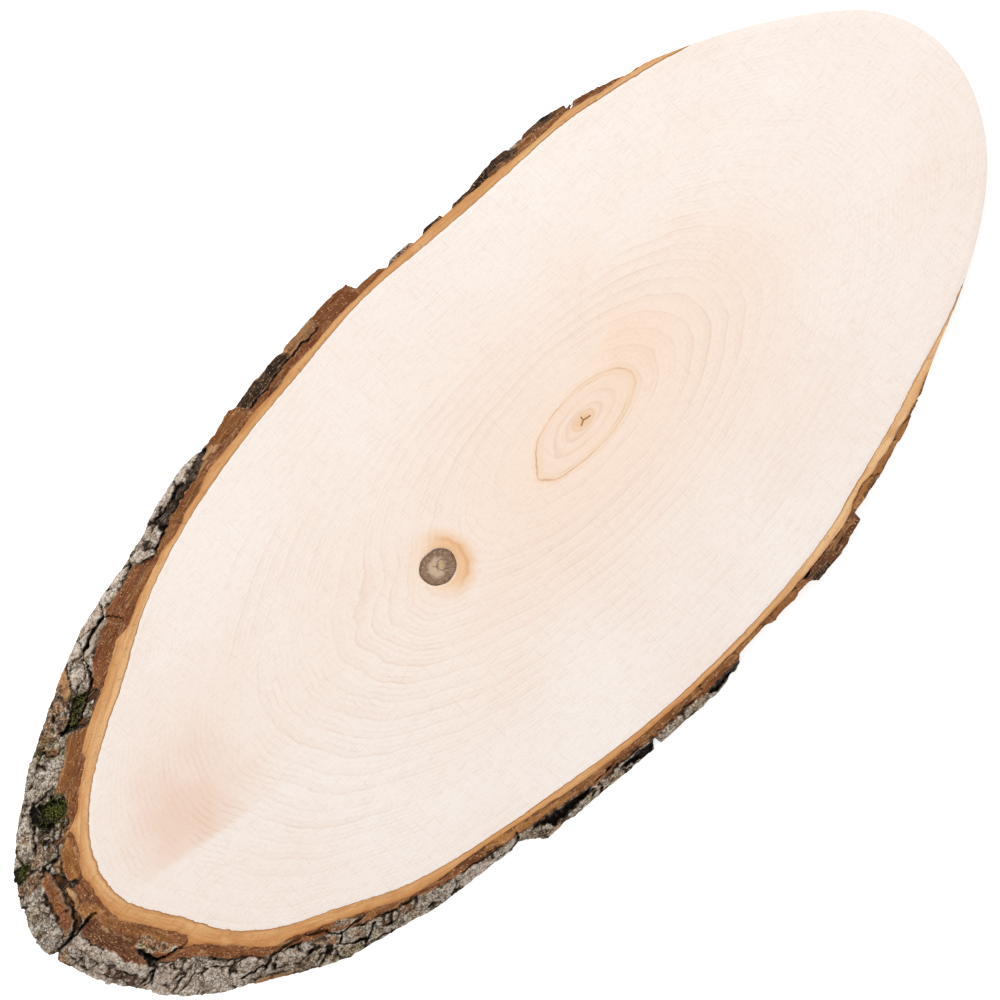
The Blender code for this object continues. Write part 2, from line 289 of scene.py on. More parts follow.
# %% Floor, light and camera
VIEW_WIDTH = 351.8  # mm of the face across the picture
LENS, SENSOR = 150.0, 36.0
LOOK_AT = np.array([1.69, 5.08])  # mm, the point of the face in the middle of the picture
PICTURE_RIGHT = Vector((0.69816, -0.71595, 0.0))
PICTURE_UP = Vector((0.71595, 0.69816, 0.0))

camera = bpy.data.objects.new("camera", bpy.data.cameras.new("camera"))
camera.data.lens, camera.data.sensor_width = LENS, SENSOR
camera.data.clip_end = 20.0
distance = VIEW_WIDTH * LENS / SENSOR
turned = Matrix((PICTURE_RIGHT, PICTURE_UP, Vector((0, 0, 1)))).transposed().to_4x4()
camera.matrix_world = Matrix.Translation((*(LOOK_AT * 0.001), (THICK + distance) * 0.001)) @ turned
bpy.context.scene.collection.objects.link(camera)
bpy.context.scene.camera = camera

world = bpy.data.worlds.new("studio")
world.use_nodes = True
world.node_tree.nodes["Background"].inputs["Color"].default_value = (1.0, 1.0, 1.0, 1.0)
world.node_tree.nodes["Background"].inputs["Strength"].default_value = 0.6
bpy.context.scene.world = world
bpy.context.scene.view_settings.view_transform = "Standard"

lamp = bpy.data.objects.new("softbox", bpy.data.lights.new("softbox", "AREA"))
lamp.data.shape, lamp.data.size, lamp.data.energy = "DISK", 0.5, 15.0
lamp.location = PICTURE_UP * 0.85 - PICTURE_RIGHT * 0.35 + Vector((0, 0, 1.5))
lamp.rotation_euler = lamp.location.to_track_quat("Z", "Y").to_euler()
bpy.context.scene.collection.objects.link(lamp)

floor_material, _, floor_shader = new_material("white_table", 0.9, 0.1)
floor_shader.inputs["Base Color"].default_value = rgba("#f6f6f6")
floor_shader.inputs["Emission Color"].default_value = (1.0, 1.0, 1.0, 1.0)
floor_shader.inputs["Emission Strength"].default_value = 0.6
bpy.ops.mesh.primitive_plane_add(size=4.0)
floor = bpy.context.object
floor.name = "floor"
floor.data.materials.append(floor_material)

# %% [markdown]
# ## The wood's shape
#
# The sawn wood is flat above and below, upright where the end was trimmed, and slanted along the trunk
# everywhere else. The dead branch goes through it like a plug, so the face is a sheet with a hole. A grid
# suits that: one direction goes round the plug, the other from the plug's hole out over the face, round the
# rim, down the side, back under the slice and up the hole again. Both directions close, so the mesh has no
# border.


# %% The wood's outline as seen from the plug
def distance_round(x, y, middle, angles):
    """How far an outline lies from a middle point, in each direction given in radians."""
    way = np.arctan2(y - middle[1], x - middle[0])
    order = np.argsort(way)
    return np.interp(angles, way[order], np.hypot(x - middle[0], y - middle[1])[order], period=2 * np.pi)


def wood_height(degrees):
    return ring_heights(WOOD_EDGE, degrees)


def inner_bark_height(degrees):
    return straight_heights(INNER_BARK_EDGE, degrees)


def knot_radius(angles):
    """The plug's outline: an oval a little longer along X, with a few low lobes."""
    return 6.45 + 0.4 * np.cos(2 * angles) + 0.1 * np.sin(3 * angles) + 0.06 * np.sin(7 * angles + 1)


WOOD_COLUMNS = 760
TRIM_STEPS = 7200  # directions in which the trim line is kept
TRIM_AT = distance_round(*outline(trimmed_height, 0.0), KNOT,
    np.linspace(-np.pi, np.pi, TRIM_STEPS, endpoint=False))


def trim_reach(angles):
    return np.interp(angles, np.linspace(-np.pi, np.pi, TRIM_STEPS, endpoint=False), TRIM_AT - 0.03,
        period=2 * np.pi)


def layer_reach(heights, depth, angles):
    return distance_round(*outline(heights, depth), KNOT, angles)


# Columns stand the same distance apart along the rim, so the far ends are as fine as the sides
even = np.linspace(-np.pi, np.pi, TRIM_STEPS + 1)
reach = np.minimum(layer_reach(wood_height, 0.0, even), trim_reach(even))
steps = np.hypot(np.diff(reach * np.cos(even)), np.diff(reach * np.sin(even)))
run = np.concatenate([[0], np.cumsum(steps)])
COLUMN_ANGLES = np.interp(np.arange(WOOD_COLUMNS) * run[-1] / WOOD_COLUMNS, run, even)
print("rim", round(run[-1]), "mm round")

# %% Rows of the wood's grid: hole, face, rim, side, underside
HOLE_GAP = 0.12
FACE = THICK - 0.02  # the wood's face, a hair under the inner bark's, which is cut round it
FACE_ROWS, SIDE_ROWS, UNDER_ROWS = 66, 6, 16
ROUND_OVER = 0.5  # mm, the sanded rim of the trimmed end

hole = knot_radius(COLUMN_ANGLES) + HOLE_GAP
rim_wood = layer_reach(wood_height, 0.0, COLUMN_ANGLES)
rim_trim = trim_reach(COLUMN_ANGLES)
bare = ease(0.0, 1.5, rim_wood - rim_trim)  # 1 where the trimmed wood has no bark beside it
rim = np.minimum(rim_wood, rim_trim)
rounding = 0.02 + ROUND_OVER * bare
radii, heights = [hole, hole], [np.zeros(WOOD_COLUMNS), np.full(WOOD_COLUMNS, FACE - 0.15)]
for s in np.linspace(0, 1, FACE_ROWS) ** 1.15:
    radii.append(hole + 0.1 + s * (rim - rounding - hole - 0.1))
    heights.append(np.full(WOOD_COLUMNS, FACE))
for s in (0.35, 0.7, 1.0):
    radii.append(rim - rounding * (1 - np.sin(s * np.pi / 2)))
    heights.append(FACE - rounding * (1 - np.cos(s * np.pi / 2)))
for s in np.arange(1, SIDE_ROWS + 1) / SIDE_ROWS:
    level = (FACE - rounding) * (1 - s)
    layer = layer_reach(wood_height, THICK * s, COLUMN_ANGLES)
    radii.append(np.minimum(layer, rim_trim))
    heights.append(level)
under_rim = radii[-1]
for s in np.linspace(0, 1, UNDER_ROWS + 1)[1:-1] ** 0.9:
    radii.append(under_rim + s * (hole - under_rim))
    heights.append(np.zeros(WOOD_COLUMNS))
radii, heights = np.array(radii), np.array(heights)
wood_x = (KNOT[0] + radii * np.cos(COLUMN_ANGLES)).ravel()
wood_y = (KNOT[1] + radii * np.sin(COLUMN_ANGLES)).ravel()
wood_z = heights.ravel()
wood_depth = THICK - wood_z

# %% [markdown]
# ## The wood's rings
#
# A ring is a surface that grew one year, and follows the outline that the wood had then: a circle round the
# pith when the tree was young, and the trunk's own waves near the bark. So the year number of a point comes
# from how far out it lies on its way from the pith to the bark. The numbers are worked out for each point
# of the grid and kept with the mesh, and the material draws a line at each whole number. Being kept with
# the mesh, they bend round the dead branch, and run on over the trimmed side and the underside.

# %% Year numbers and tints at each point
pith_sx, pith_sy = section_from_plan(PITH[0], PITH[1], 0.0)
section_x, section_y = section_from_plan(wood_x, wood_y, wood_depth)
from_pith = np.hypot(section_x - pith_sx, section_y - pith_sy)
way = np.arctan2(section_y - pith_sy, section_x - pith_sx)
ring_degrees = np.arange(1440) / 4
ring_radius = RADIUS + wood_height(ring_degrees)
wavy = distance_round(
    ring_radius * np.cos(np.radians(ring_degrees)),
    ring_radius * np.sin(np.radians(ring_degrees)),
    (pith_sx, pith_sy),
    way,
)
round_edge = distance_round(
    RADIUS * np.cos(np.radians(ring_degrees)),
    RADIUS * np.sin(np.radians(ring_degrees)),
    (pith_sx, pith_sy),
    way,
)
out_share = np.clip(from_pith / round_edge, 0, 1.05)
bark_distance = round_edge + (wavy - round_edge) * out_share**2
out_share = from_pith / bark_distance
FIRST_WIDTH, LAST_WIDTH = 4.2, 2.6  # mm between rings near the pith and near the bark
narrowing = FIRST_WIDTH - LAST_WIDTH
years = RADIUS / narrowing * np.log(FIRST_WIDTH / (FIRST_WIDTH - narrowing * np.clip(out_share, 0, 1.2)))


def spot(x, y, middle, size_x, size_y):
    """A soft round bump of height 1: exp of minus half the squared distance in sizes."""
    return np.exp(-0.5 * (((x - middle[0]) / size_x) ** 2 + ((y - middle[1]) / size_y) ** 2))


def wood_spot(x, y, size_x, size_y):
    """The same on the wood's own points, round a plan x, y."""
    return spot(wood_x, wood_y, (x, y), size_x, size_y)


years += 0.85 * wood_spot(-50.0, 17.0, 9.0, 6.0)
years -= 1.0 * wood_spot(-43.0, -3.0, 13.0, 9.0)
years += 0.16 * noise(section_x, section_y, 0.0, 16.0) + 0.07 * noise(section_x, section_y, 0.0, 6.0, 2.0)
years += 0.4 * noise(section_x, section_y, 0.0, 4.0, 3.0) * wood_spot(-56.0, 13.0, 15.0, 11.0)

# The thin brown line round the heart, mm from the pith, drawn as it runs on the face
HEART_LINE = np.array(
    [
        (-26.3, -3.0), (-23.6, -0.4), (-22.3, 1.6), (-16.3, 6.4), (-7.9, 8.7), (2.0, 9.4), (9.8, 8.9),
        (16.8, 7.0), (21.3, 4.3), (23.6, 1.3), (24.0, -1.1), (22.3, -3.9), (17.8, -6.6), (11.9, -8.8),
        (4.6, -10.2), (-2.9, -10.6), (-10.4, -10.0), (-17.7, -9.0), (-21.2, -8.1), (-23.7, -6.1),
        (-25.2, -4.4),
    ]
)


def smooth_closed(points, count):
    """A closed Catmull-Rom curve through the points, count steps between each two."""
    before, here, after, far = (np.roll(points, k, axis=0)[:, None] for k in (1, 0, -1, -2))
    s = (np.arange(count) / count)[None, :, None]
    curve = 0.5 * (
        2 * here
        + (after - before) * s
        + (2 * before - 5 * here + 4 * after - far) * s**2
        + (3 * here - before - 3 * after + far) * s**3
    )
    return curve.reshape(-1, 2)


heart_curve = smooth_closed(HEART_LINE, 12)
at_face_x = wood_x + wood_depth * TAN - PITH[0]  # where the point's grain meets the face, from the pith
heart_angle = np.arctan2(wood_y - PITH[1], at_face_x)
heart_reach = distance_round(heart_curve[:, 0], heart_curve[:, 1], (0.0, 0.0), heart_angle)
from_pith_plan = np.hypot(at_face_x, wood_y - PITH[1])
heart = (from_pith_plan / heart_reach - 1) * 10.0  # tenths of the way from the pith to the line, 0 on it

# Rings show more strongly in a few places: over the heart, below the middle, and left of the dead branch
bold = 1.3 * wood_spot(57.0, 29.0, 42.0, 5.0) + 1.0 * wood_spot(-6.0, 45.0, 40.0, 4.0)
bold += 0.9 * wood_spot(95.0, -9.0, 22.0, 12.0) + 0.8 * wood_spot(-60.0, -22.0, 55.0, 22.0)
bold += 0.7 * wood_spot(-52.0, 14.0, 16.0, 12.0) + 0.6 * wood_spot(-6.0, -36.0, 48.0, 9.0)

patch = (
    0.5 * noise(at_face_x * 0.5, wood_y, 0.0, 24.0, 4.0)
    + 0.35 * noise(at_face_x * 0.4, wood_y, 0.0, 9.0, 9.0)
)
warm = 0.62 * (1 - ease(0.1, 0.85, out_share + 0.3 * patch)) + 0.16 * ease(0.0, 0.7, patch)
warm += 0.2 * spot(at_face_x, wood_y - PITH[1], (8.0, -3.0), 36.0, 14.0)
warm += (
    0.45 * spot(at_face_x, wood_y - PITH[1], (33.0, 8.0), 9.0, 9.0)
    + 0.08 * wood_spot(112.0, 27.0, 22.0, 4.0)
)
bold += (
    0.9 * spot(at_face_x, wood_y - PITH[1], (34.0, 9.0), 12.0, 12.0)
    + 0.7 * wood_spot(113.0, 28.0, 24.0, 5.0)
)
stain_x = wood_x + wood_depth * TAN
stain_edge = wood_y + 4.6 + 0.18 * (stain_x + 157) + 1.0 * noise(wood_x, wood_y, 0.0, 9.0, 6.0)
stain = (
    0.75 * spot(stain_x, wood_y, (-154.0, 11.0), 14.0, 14.0)
    + 0.7 * spot(stain_x, wood_y, (-162.0, 3.0), 11.0, 6.5)
)
stain += 0.32 * spot(stain_x, wood_y, (-134.0, 16.0), 22.0, 16.0)
stain *= ease(-1.5, 1.8, stain_edge)
stain = np.clip(stain * (0.9 + 0.3 * noise(wood_x, wood_y, 0.0, 8.0, 1.0)), 0, 1)
fine = (
    0.34
    + 0.8 * spot(stain_x, wood_y, (-150.0, 9.0), 14.0, 14.0)
    + 0.25 * spot(stain_x, wood_y, (-70.0, -10.0), 40.0, 26.0)
)
fine = np.clip(fine * (0.8 + 0.7 * noise(wood_x, wood_y, 0.0, 12.0, 8.0)), 0, 1.2)
print("years at the bark:", years.max().round(1))

# %% [markdown]
# ## The wood's finish: sawn and sanded alder
#
# Fresh alder is pale, slightly pink and dull. Sanded across a slant like this it shows soft darker ring
# lines, short fine streaks where the pores are cut at a slant, all along X, and faint scratches from the
# sander. The colours sit close together, so each mark shifts the colour only a little. Near the pith the
# wood is warmer, the dead branch has bled an orange halo, and a pinkish stain lies near the bark at the -X
# end.

# %% Sanded wood material
wood_material, tree, shader = new_material("sanded_alder", 0.62, 0.25)
place = add_node(tree, "TexCoord").outputs["Object"]
fields = {}
for key in ("years", "warm", "stain", "heart", "bold", "fine"):
    fields[key] = from_mesh(tree, key)


def math(operation, first, second=0.0):
    """One Math node on the material that is being made."""
    return add_node(tree, "Math", {0: first, 1: second}, operation=operation).outputs[0]


def vector(operation, inputs):
    """One Vector Math node on the same material."""
    return add_node(tree, "VectorMath", inputs, operation=operation)


def ramp(value, low, high, start=0.0, end=1.0):
    """A soft step of a shader value from start, at low, to end, at high."""
    made = add_node(tree, "MapRange", {0: value, 1: low, 2: high, 3: start, 4: end},
        interpolation_type="SMOOTHSTEP")
    return made.outputs[0]


def cloud(scale, stretch=(1.0, 1.0, 1.0), detail=2.0, turn=0.0, rough=0.5):
    """Noise over the object, scale in cells per metre, stretched and turned as a Mapping node does it."""
    mapped = add_node(tree, "Mapping", {"Vector": place, "Rotation": (0.0, 0.0, turn), "Scale": stretch})
    made = add_node(
        tree,
        "TexNoise",
        {"Vector": mapped.outputs[0], "Scale": scale, "Detail": detail, "Roughness": rough},
    )
    return made.outputs["Fac"]


def mix(share, first, second, mode="MIX"):
    made = add_node(tree, "Mix", {0: share, 6: first, 7: second}, data_type="RGBA", blend_type=mode)
    return made.outputs[2]


def dress(colour, height=None, strength=0.0, distance=0.0002):
    """Join a colour, and a relief where there is one, to the material that is being made."""
    tree.links.new(colour, shader.inputs["Base Color"])
    if height is not None:
        bump = add_node(tree, "Bump", {"Height": height, "Strength": strength, "Distance": distance})
        tree.links.new(bump.outputs[0], shader.inputs["Normal"])


def glaze(colour, *layers):
    """Shader colours laid over one another: each layer is a share and the colour that it mixes in."""
    for share, own in layers:
        colour = mix(share, colour, rgba(own))
    return colour


def band(value, low, top, high):
    """0 below low, up to 1 at top, and back to 0 at high."""
    return math("MULTIPLY", ramp(value, low, top), ramp(value, high, top))


def product(*factors):
    """All factors multiplied, one Math node after another."""
    total = factors[0]
    for factor in factors[1:]:
        total = math("MULTIPLY", total, factor)
    return total


def towards(point, middle):
    """The vector on the face from a middle point in mm to the shaded point, in mm."""
    moved = vector("SUBTRACT", {0: point, 1: (middle[0] / 1000, middle[1] / 1000, 0.0)})
    return vector("MULTIPLY", {0: moved.outputs[0], 1: (1000.0, 1000.0, 0.0)}).outputs[0]


def arm_distance(point, end):
    """Distance in mm to the straight line from 0 to end: the point less its shadow on the line, kept on the
    line."""
    length = float(np.hypot(*end))
    way = (end[0] / length, end[1] / length, 0.0)
    along = vector("DOT_PRODUCT", {0: point, 1: way}).outputs["Value"]
    along = math("MINIMUM", math("MAXIMUM", along, 0.0), length)
    foot = vector("SCALE", {0: way, "Scale": along}).outputs[0]
    return vector("DISTANCE", {0: point, 1: foot}).outputs["Value"]


wander = product(math("SUBTRACT", cloud(220.0, (0.35, 1.0, 1.0), 2.0), 0.5), 0.4)
year_count = math("ADD", fields["years"], wander)
year = math("FRACT", year_count)
own = add_node(tree, "TexWhiteNoise", {"W": math("FLOOR", year_count)},
    noise_dimensions="1D").outputs["Value"]
late = math("ADD", product(band(year, 0.3, 0.9, 1.0), 0.42), product(band(year, 0.8, 0.95, 1.0), 0.5))
ring_strength = math("ADD", ramp(cloud(34.0, detail=3.0), 0.42, 0.66, 0.0, 1.0), fields["bold"])
ring_strength = math("MULTIPLY", ring_strength, math("ADD", product(own, 0.8), 0.35))
fine_late = band(math("FRACT", math("MULTIPLY", year_count, 3.0)), 0.5, 0.84, 1.0)
streaks = cloud(2400.0, (0.07, 1.0, 1.0), 3.0)
grain = cloud(5200.0, (0.16, 1.0, 1.0), 2.0)
patches = cloud(20.0, (0.7, 1.0, 1.0), 3.0)
scratches = cloud(1500.0, (1.0, 0.05, 1.0), 2.0, turn=0.75)
pores = cloud(2800.0, (0.3, 1.0, 1.0), 1.0)

colour = mix(ramp(patches, 0.35, 0.65), rgba("#f9f0e9"), rgba("#f8ebe2"))
colour = glaze(
    colour,
    (fields["warm"], "#f9e0cc"),
    (math("MULTIPLY", fields["stain"], 0.8), "#efcfba"),
    (product(late, ring_strength, 0.2), "#dfb99c"),
    (product(fine_late, fields["fine"], ramp(cloud(120.0, detail=3.0), 0.36, 0.62), 0.34), "#dcb599"),
    (ramp(streaks, 0.52, 0.74, 0.0, 0.36), "#eacbb5"),
    (ramp(grain, 0.55, 0.76, 0.0, 0.46), "#dfbda5"),
    (ramp(scratches, 0.56, 0.7, 0.0, 0.17), "#dfc2aa"),
    (ramp(pores, 0.76, 0.82, 0.0, 0.35), "#c9a184"),
)

# The heart line wobbles and is doubled in places
heart_wobble = math("ADD", fields["heart"], product(math("SUBTRACT", cloud(420.0, detail=3.0), 0.5), 0.9))
heart_patch = ramp(cloud(90.0), 0.35, 0.65, 0.3, 1.0)
heart_line = product(band(heart_wobble, -0.35, -0.02, 0.22), heart_patch, 0.8)
heart_echo = product(band(heart_wobble, -1.3, -0.95, -0.7), ramp(cloud(60.0), 0.5, 0.7), 0.4)
heart_rings = math("MAXIMUM", band(heart_wobble, -7.6, -6.4, -6.0), band(heart_wobble, -5.0, -3.9, -3.6))
heart_rings = product(heart_rings, heart_patch, 0.2)
colour = glaze(
    colour,
    (product(band(heart_wobble, -2.6, -0.2, 1.2), 0.42), "#f1cda4"),
    (product(ramp(fields["heart"], 0.1, -1.0), 0.3), "#f4dbc5"),
    (math("MAXIMUM", heart_line, math("MAXIMUM", heart_echo, heart_rings)), "#cf986a"),
)

# The three-armed pith, in a small orange oval
PITH_ARMS = [(2.73, -0.64), (0.12, 1.24), (-1.82, -0.80)]  # mm
from_pith_here = towards(place, PITH)
arm = arm_distance(from_pith_here, PITH_ARMS[0])
for end in PITH_ARMS[1:]:
    arm = math("MINIMUM", arm, arm_distance(from_pith_here, end))
arm = math("ADD", arm, product(math("SUBTRACT", cloud(3000.0), 0.5), 0.3))
oval = vector("MULTIPLY", {0: from_pith_here, 1: (0.5, 1.0, 0.0)}).outputs[0]
oval = vector("LENGTH", {0: oval}).outputs["Value"]
colour = glaze(
    colour,
    (ramp(oval, 3.6, 0.8, 0.0, 0.7), "#edbb85"),
    (product(band(oval, 2.0, 2.4, 2.8), 0.3), "#dcae80"),
    (ramp(arm, 0.42, 0.12, 0.0, 0.85), "#7e5634"),
)

# The halo that the dead branch bled into the wood: a crescent on its +X side and a thin ring all round
from_knot = towards(place, KNOT)
knot_far = vector("LENGTH", {0: from_knot}).outputs["Value"]
knot_far = math("ADD", knot_far, product(math("SUBTRACT", cloud(350.0, detail=3.0), 0.5), 2.2))
knot_way = vector("NORMALIZE", {0: from_knot}).outputs[0]
knot_side = vector("DOT_PRODUCT", {0: knot_way, 1: (0.96, -0.28, 0.0)}).outputs["Value"]
crescent = product(ramp(knot_side, -0.2, 0.8), band(knot_far, 6.2, 9.0, 15.0))
pointed = product(ramp(knot_side, 0.86, 0.99), ramp(knot_far, 17.0, 9.0))
thin_ring = product(ramp(knot_side, -1.4, 0.6), band(knot_far, 6.0, 7.2, 9.0), 0.6)
glow = product(ramp(knot_side, -1.2, 0.9, 0.25, 1.0), ramp(knot_far, 16.5, 6.5))
halo = math("MINIMUM", math("ADD", math("ADD", crescent, thin_ring), product(pointed, 0.35)), 1.0)
colour = glaze(
    colour,
    (product(glow, 0.62), "#f3cb9d"),
    (product(halo, 0.6), "#ebb47c"),
    (product(band(knot_far, 8.6, 10.2, 11.4), ramp(knot_side, 0.2, 0.9), 0.5), "#d79c5c"),
)
bump_height = math("ADD", math("MULTIPLY", streaks, 0.6), math("MULTIPLY", late, 0.4))
dress(colour, bump_height, 0.12)

wood = add_mesh(
    "wood_body",
    np.c_[wood_x, wood_y, wood_z],
    closed_grid(len(radii), WOOD_COLUMNS)[:, ::-1],
    wood_material,
    years=years,
    warm=warm,
    stain=stain,
    heart=heart,
    bold=bold,
    fine=fine,
)
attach(wood, "root")
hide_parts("wood")

# %% [markdown]
# ## The plug of the dead branch
#
# The branch died and the trunk grew over it. Its own dark bark makes the ring, its grey-brown wood the
# middle, with a crooked inner contour and a few fine drying cracks. It is small, so its colours are painted
# straight on to a fine polar grid. A hair-thin hole in the middle, the branch's own pith, lets the grid
# close without a pole.

# %% Dead branch: shape and colours
PLUG_COLUMNS = 300
PLUG_ROWS = 46  # across its face
plug_turn = np.linspace(0, 2 * np.pi, PLUG_COLUMNS, endpoint=False)
plug_share = np.concatenate([[0.004, 0.004], np.linspace(0.02, 0.985, PLUG_ROWS),
    [0.998, 1.0, 1.0, 0.98, 0.5]])
plug_level = np.concatenate([[0.0, THICK - 0.1], np.full(PLUG_ROWS, THICK - 0.03),
    [THICK - 0.09, THICK - 0.3, 0.25, 0.0, 0.0]])
share, turn = np.meshgrid(plug_share, plug_turn, indexing="ij")
plug_x = share * knot_radius(turn) * np.cos(turn)
plug_y = share * knot_radius(turn) * np.sin(turn)
plug_z = np.repeat(plug_level, PLUG_COLUMNS).reshape(share.shape)


def picture_plan(right, up):
    """A vector in mm to the right and up in the picture as plan x, y."""
    return right * PICTURE_RIGHT[0] + up * PICTURE_UP[0], right * PICTURE_RIGHT[1] + up * PICTURE_UP[1]


core_at = picture_plan(-0.5, -0.2)
core_x, core_y = plug_x - core_at[0], plug_y - core_at[1]
core_turn = np.arctan2(core_y, core_x)
core_edge = 3.7 + 0.4 * np.cos(2 * core_turn - 1.3) + 0.2 * np.sin(3 * core_turn + 0.6)
core_edge += 0.14 * np.sin(7 * core_turn) + 0.1 * np.sin(13 * core_turn + 2)
core = np.hypot(core_x, core_y) / core_edge
fibre = 0.6 * noise(plug_x, plug_y, 0.0, 0.3) + 0.6 * noise(share * 34, 0.0, 0.0, 1.0, 3.0)
fibre += 0.5 * noise(share * 8, turn * 22, 0.0, 1.0, 5.0)
inner_at = picture_plan(1.4, 0.8)
inner = np.hypot(plug_x - inner_at[0], plug_y - inner_at[1]) + 0.3 * noise(plug_x, plug_y, 0.0, 0.8, 6.0)
contour = np.exp(-(((inner - 1.9) / 0.22) ** 2)) * ease(1.15, 0.9, core)
bark_ring = ease(0.9, 1.08, core)
plug_colour = blend(linear("#ccb29a"), linear("#d6b999"),
    ease(-0.6, 0.6, noise(plug_x, plug_y, 0.0, 1.2, 7.0)))
plug_colour = paint_over(
    plug_colour,
    ("#d0a874", ease(2.0, 0.8, inner) * 0.6),
    ("#8f7a62", ease(0.62, 0.95, core) * 0.6),
    ("#76583f", 0.8 * contour),
    ("#94745f", bark_ring),
    ("#644e3f", bark_ring * ease(0.0, -0.7, fibre)),
    ("#6a5140", bark_ring * ease(0.92, 0.985, share) * 0.45),
    ("#bda489", bark_ring * ease(0.1, 0.8, fibre) * 0.7),
)
crack_depth = np.zeros(share.shape)
for heading, start, length in ((2.0, 0.2, 2.1), (4.3, 0.1, 1.9), (0.2, 0.3, 1.7), (5.4, 3.2, 1.6),
    (3.1, 3.4, 1.3)):
    reach_x, reach_y = core_x * np.cos(heading), core_y * np.sin(heading)
    ahead = reach_x + reach_y - start
    aside = -core_x * np.sin(heading) + core_y * np.cos(heading) + 0.14 * np.sin(ahead * 5)
    width = 0.11 * ease(-0.2, 0.1, ahead) * ease(length, length * 0.5, ahead) + 1e-4
    crack_depth = np.maximum(crack_depth, np.exp(-((aside / width) ** 2)) * (width > 0.01))
plug_colour = blend(plug_colour, linear("#3d2f25"), 0.85 * crack_depth)
plug_colour *= (1 + 0.14 * fibre)[..., None]
on_face = plug_z > THICK - 0.05
plug_z -= on_face * (0.12 * crack_depth + 0.03 * bark_ring * (1 + fibre))

plug_material, tree, shader = new_material("dead_branch_wood", 0.75, 0.2)
place = add_node(tree, "TexCoord").outputs["Object"]
tint = from_mesh(tree, "tint", "Color")
dress(mix(ramp(cloud(3500.0), 0.4, 0.7, 0.0, 0.4), tint, rgba("#75604c")))
plug = add_mesh(
    "dead_branch",
    np.c_[(KNOT[0] + plug_x).ravel(), (KNOT[1] + plug_y).ravel(), plug_z.ravel()],
    closed_grid(len(plug_share), PLUG_COLUMNS),
    plug_material,
    plug_colour.reshape(-1, 3),
)
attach(plug, "root")
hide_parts("dead_knot")

# %% [markdown]
# ## The inner bark
#
# Between wood and bark lies the tan layer that carried the tree's sap. It is 2 to 5 mm thick, cut very
# slantwise at the -X end, so it looks widest there. Its outer edge is scalloped, because the dead outer
# bark starts at a different depth under each plate. It is one closed ring: up its inner wall, across its
# top, down its outer wall and back.


# %% Inner bark
def even_columns(heights, first, last, step):
    """Angles in degrees from first to last that stand about step mm apart along a layer's outline in plan."""
    degrees = np.arange(first, last + 0.01, 0.05)
    turn = np.radians(degrees)
    radius = RADIUS + heights(degrees)
    x, y = plan_from_section(radius * np.cos(turn), radius * np.sin(turn), 0.0)
    run = np.concatenate([[0], np.cumsum(np.hypot(np.diff(x), np.diff(y)))])
    return np.interp(np.linspace(0, run[-1], int(run[-1] / step)), run, degrees)


def trimmed_plan(x, y):
    """Plan points drawn in to the trimmed end's line where they lie past it, along their line from the
    trunk's centre."""
    sx, sy = section_from_plan(x, y, 0.0)
    out = np.hypot(sx, sy)
    limit = RADIUS + trimmed_height(np.degrees(np.arctan2(sy, sx))) - 0.05
    shrink = np.minimum(1, limit / out)
    return CENTRE[0] + (x - CENTRE[0]) * shrink, CENTRE[1] + (y - CENTRE[1]) * shrink


tan_degrees = even_columns(wood_height, 0, 360, 0.6)[:-1]
tan_turn = np.radians(tan_degrees)
notches = 0.16 * noise(tan_turn * 75, 0.0, 0.0, 1.0, 7.0) + 0.09 * noise(tan_turn * 200, 0.0, 0.0, 1.0, 8.0)
tan_inner = wood_height(tan_degrees) - 0.12 + notches
scallop = 0.18 * noise(tan_turn * 60, 0.0, 0.0, 1.0) + 0.1 * noise(tan_turn * 170, 0.0, 0.0, 1.0, 4.0)
tan_outer = np.maximum(inner_bark_height(tan_degrees) + scallop, tan_inner + 0.5)
tan_rows = (
    [(0.0, 1.0)]
    + [(s, 0.0) for s in np.linspace(0, 1, 9)]
    + [(1.0, s) for s in (0.02, 0.25, 0.5, 0.75, 1.0)]
)
tan_rows += [(0.5, 1.0), (0.0, 0.75), (0.0, 0.4)]
tan_rows = [tan_rows[0], tan_rows[-2], tan_rows[-1], *tan_rows[1:-2]]
bare_end = ease(0.0, 0.6, wood_height(tan_degrees) - trimmed_height(tan_degrees))
sink = 0.8 * bare_end  # mm under the face; under the trimmed end the ring stays inside the wood's round rim
tan_x, tan_y, tan_z, tan_across = [], [], [], []
for across, down in tan_rows:
    radius = RADIUS + tan_inner + across * (tan_outer - tan_inner)
    depth = sink + down * (THICK - sink)
    x, y = plan_from_section(radius * np.cos(tan_turn), radius * np.sin(tan_turn), depth)
    x, y = trimmed_plan(x, y)
    tan_x.append(x)
    tan_y.append(y)
    tan_z.append(THICK - depth)
    tan_across.append(np.full(len(x), across))
tan_x, tan_y, tan_z, tan_across = (np.array(rows) for rows in (tan_x, tan_y, tan_z, tan_across))
tan_around = np.radians(np.tile(tan_degrees, (len(tan_rows), 1))) * RADIUS

# %% [markdown]
# Inner bark is orange-tan where it was cut, lighter next to the wood and on the thin lower side, with fine
# lines that follow the rim and a few thin cracks that cross it. The lines are kept in the frame of the
# layer itself: one coordinate runs round the trunk and the other across the layer, so they bend with the
# rim.

# %% Inner bark material
tan_material, tree, shader = new_material("inner_bark_bast", 0.7, 0.2)
place = add_node(tree, "TexCoord").outputs["Object"]
around = from_mesh(tree, "around")
across = from_mesh(tree, "across")
tint = from_mesh(tree, "tint", "Color")


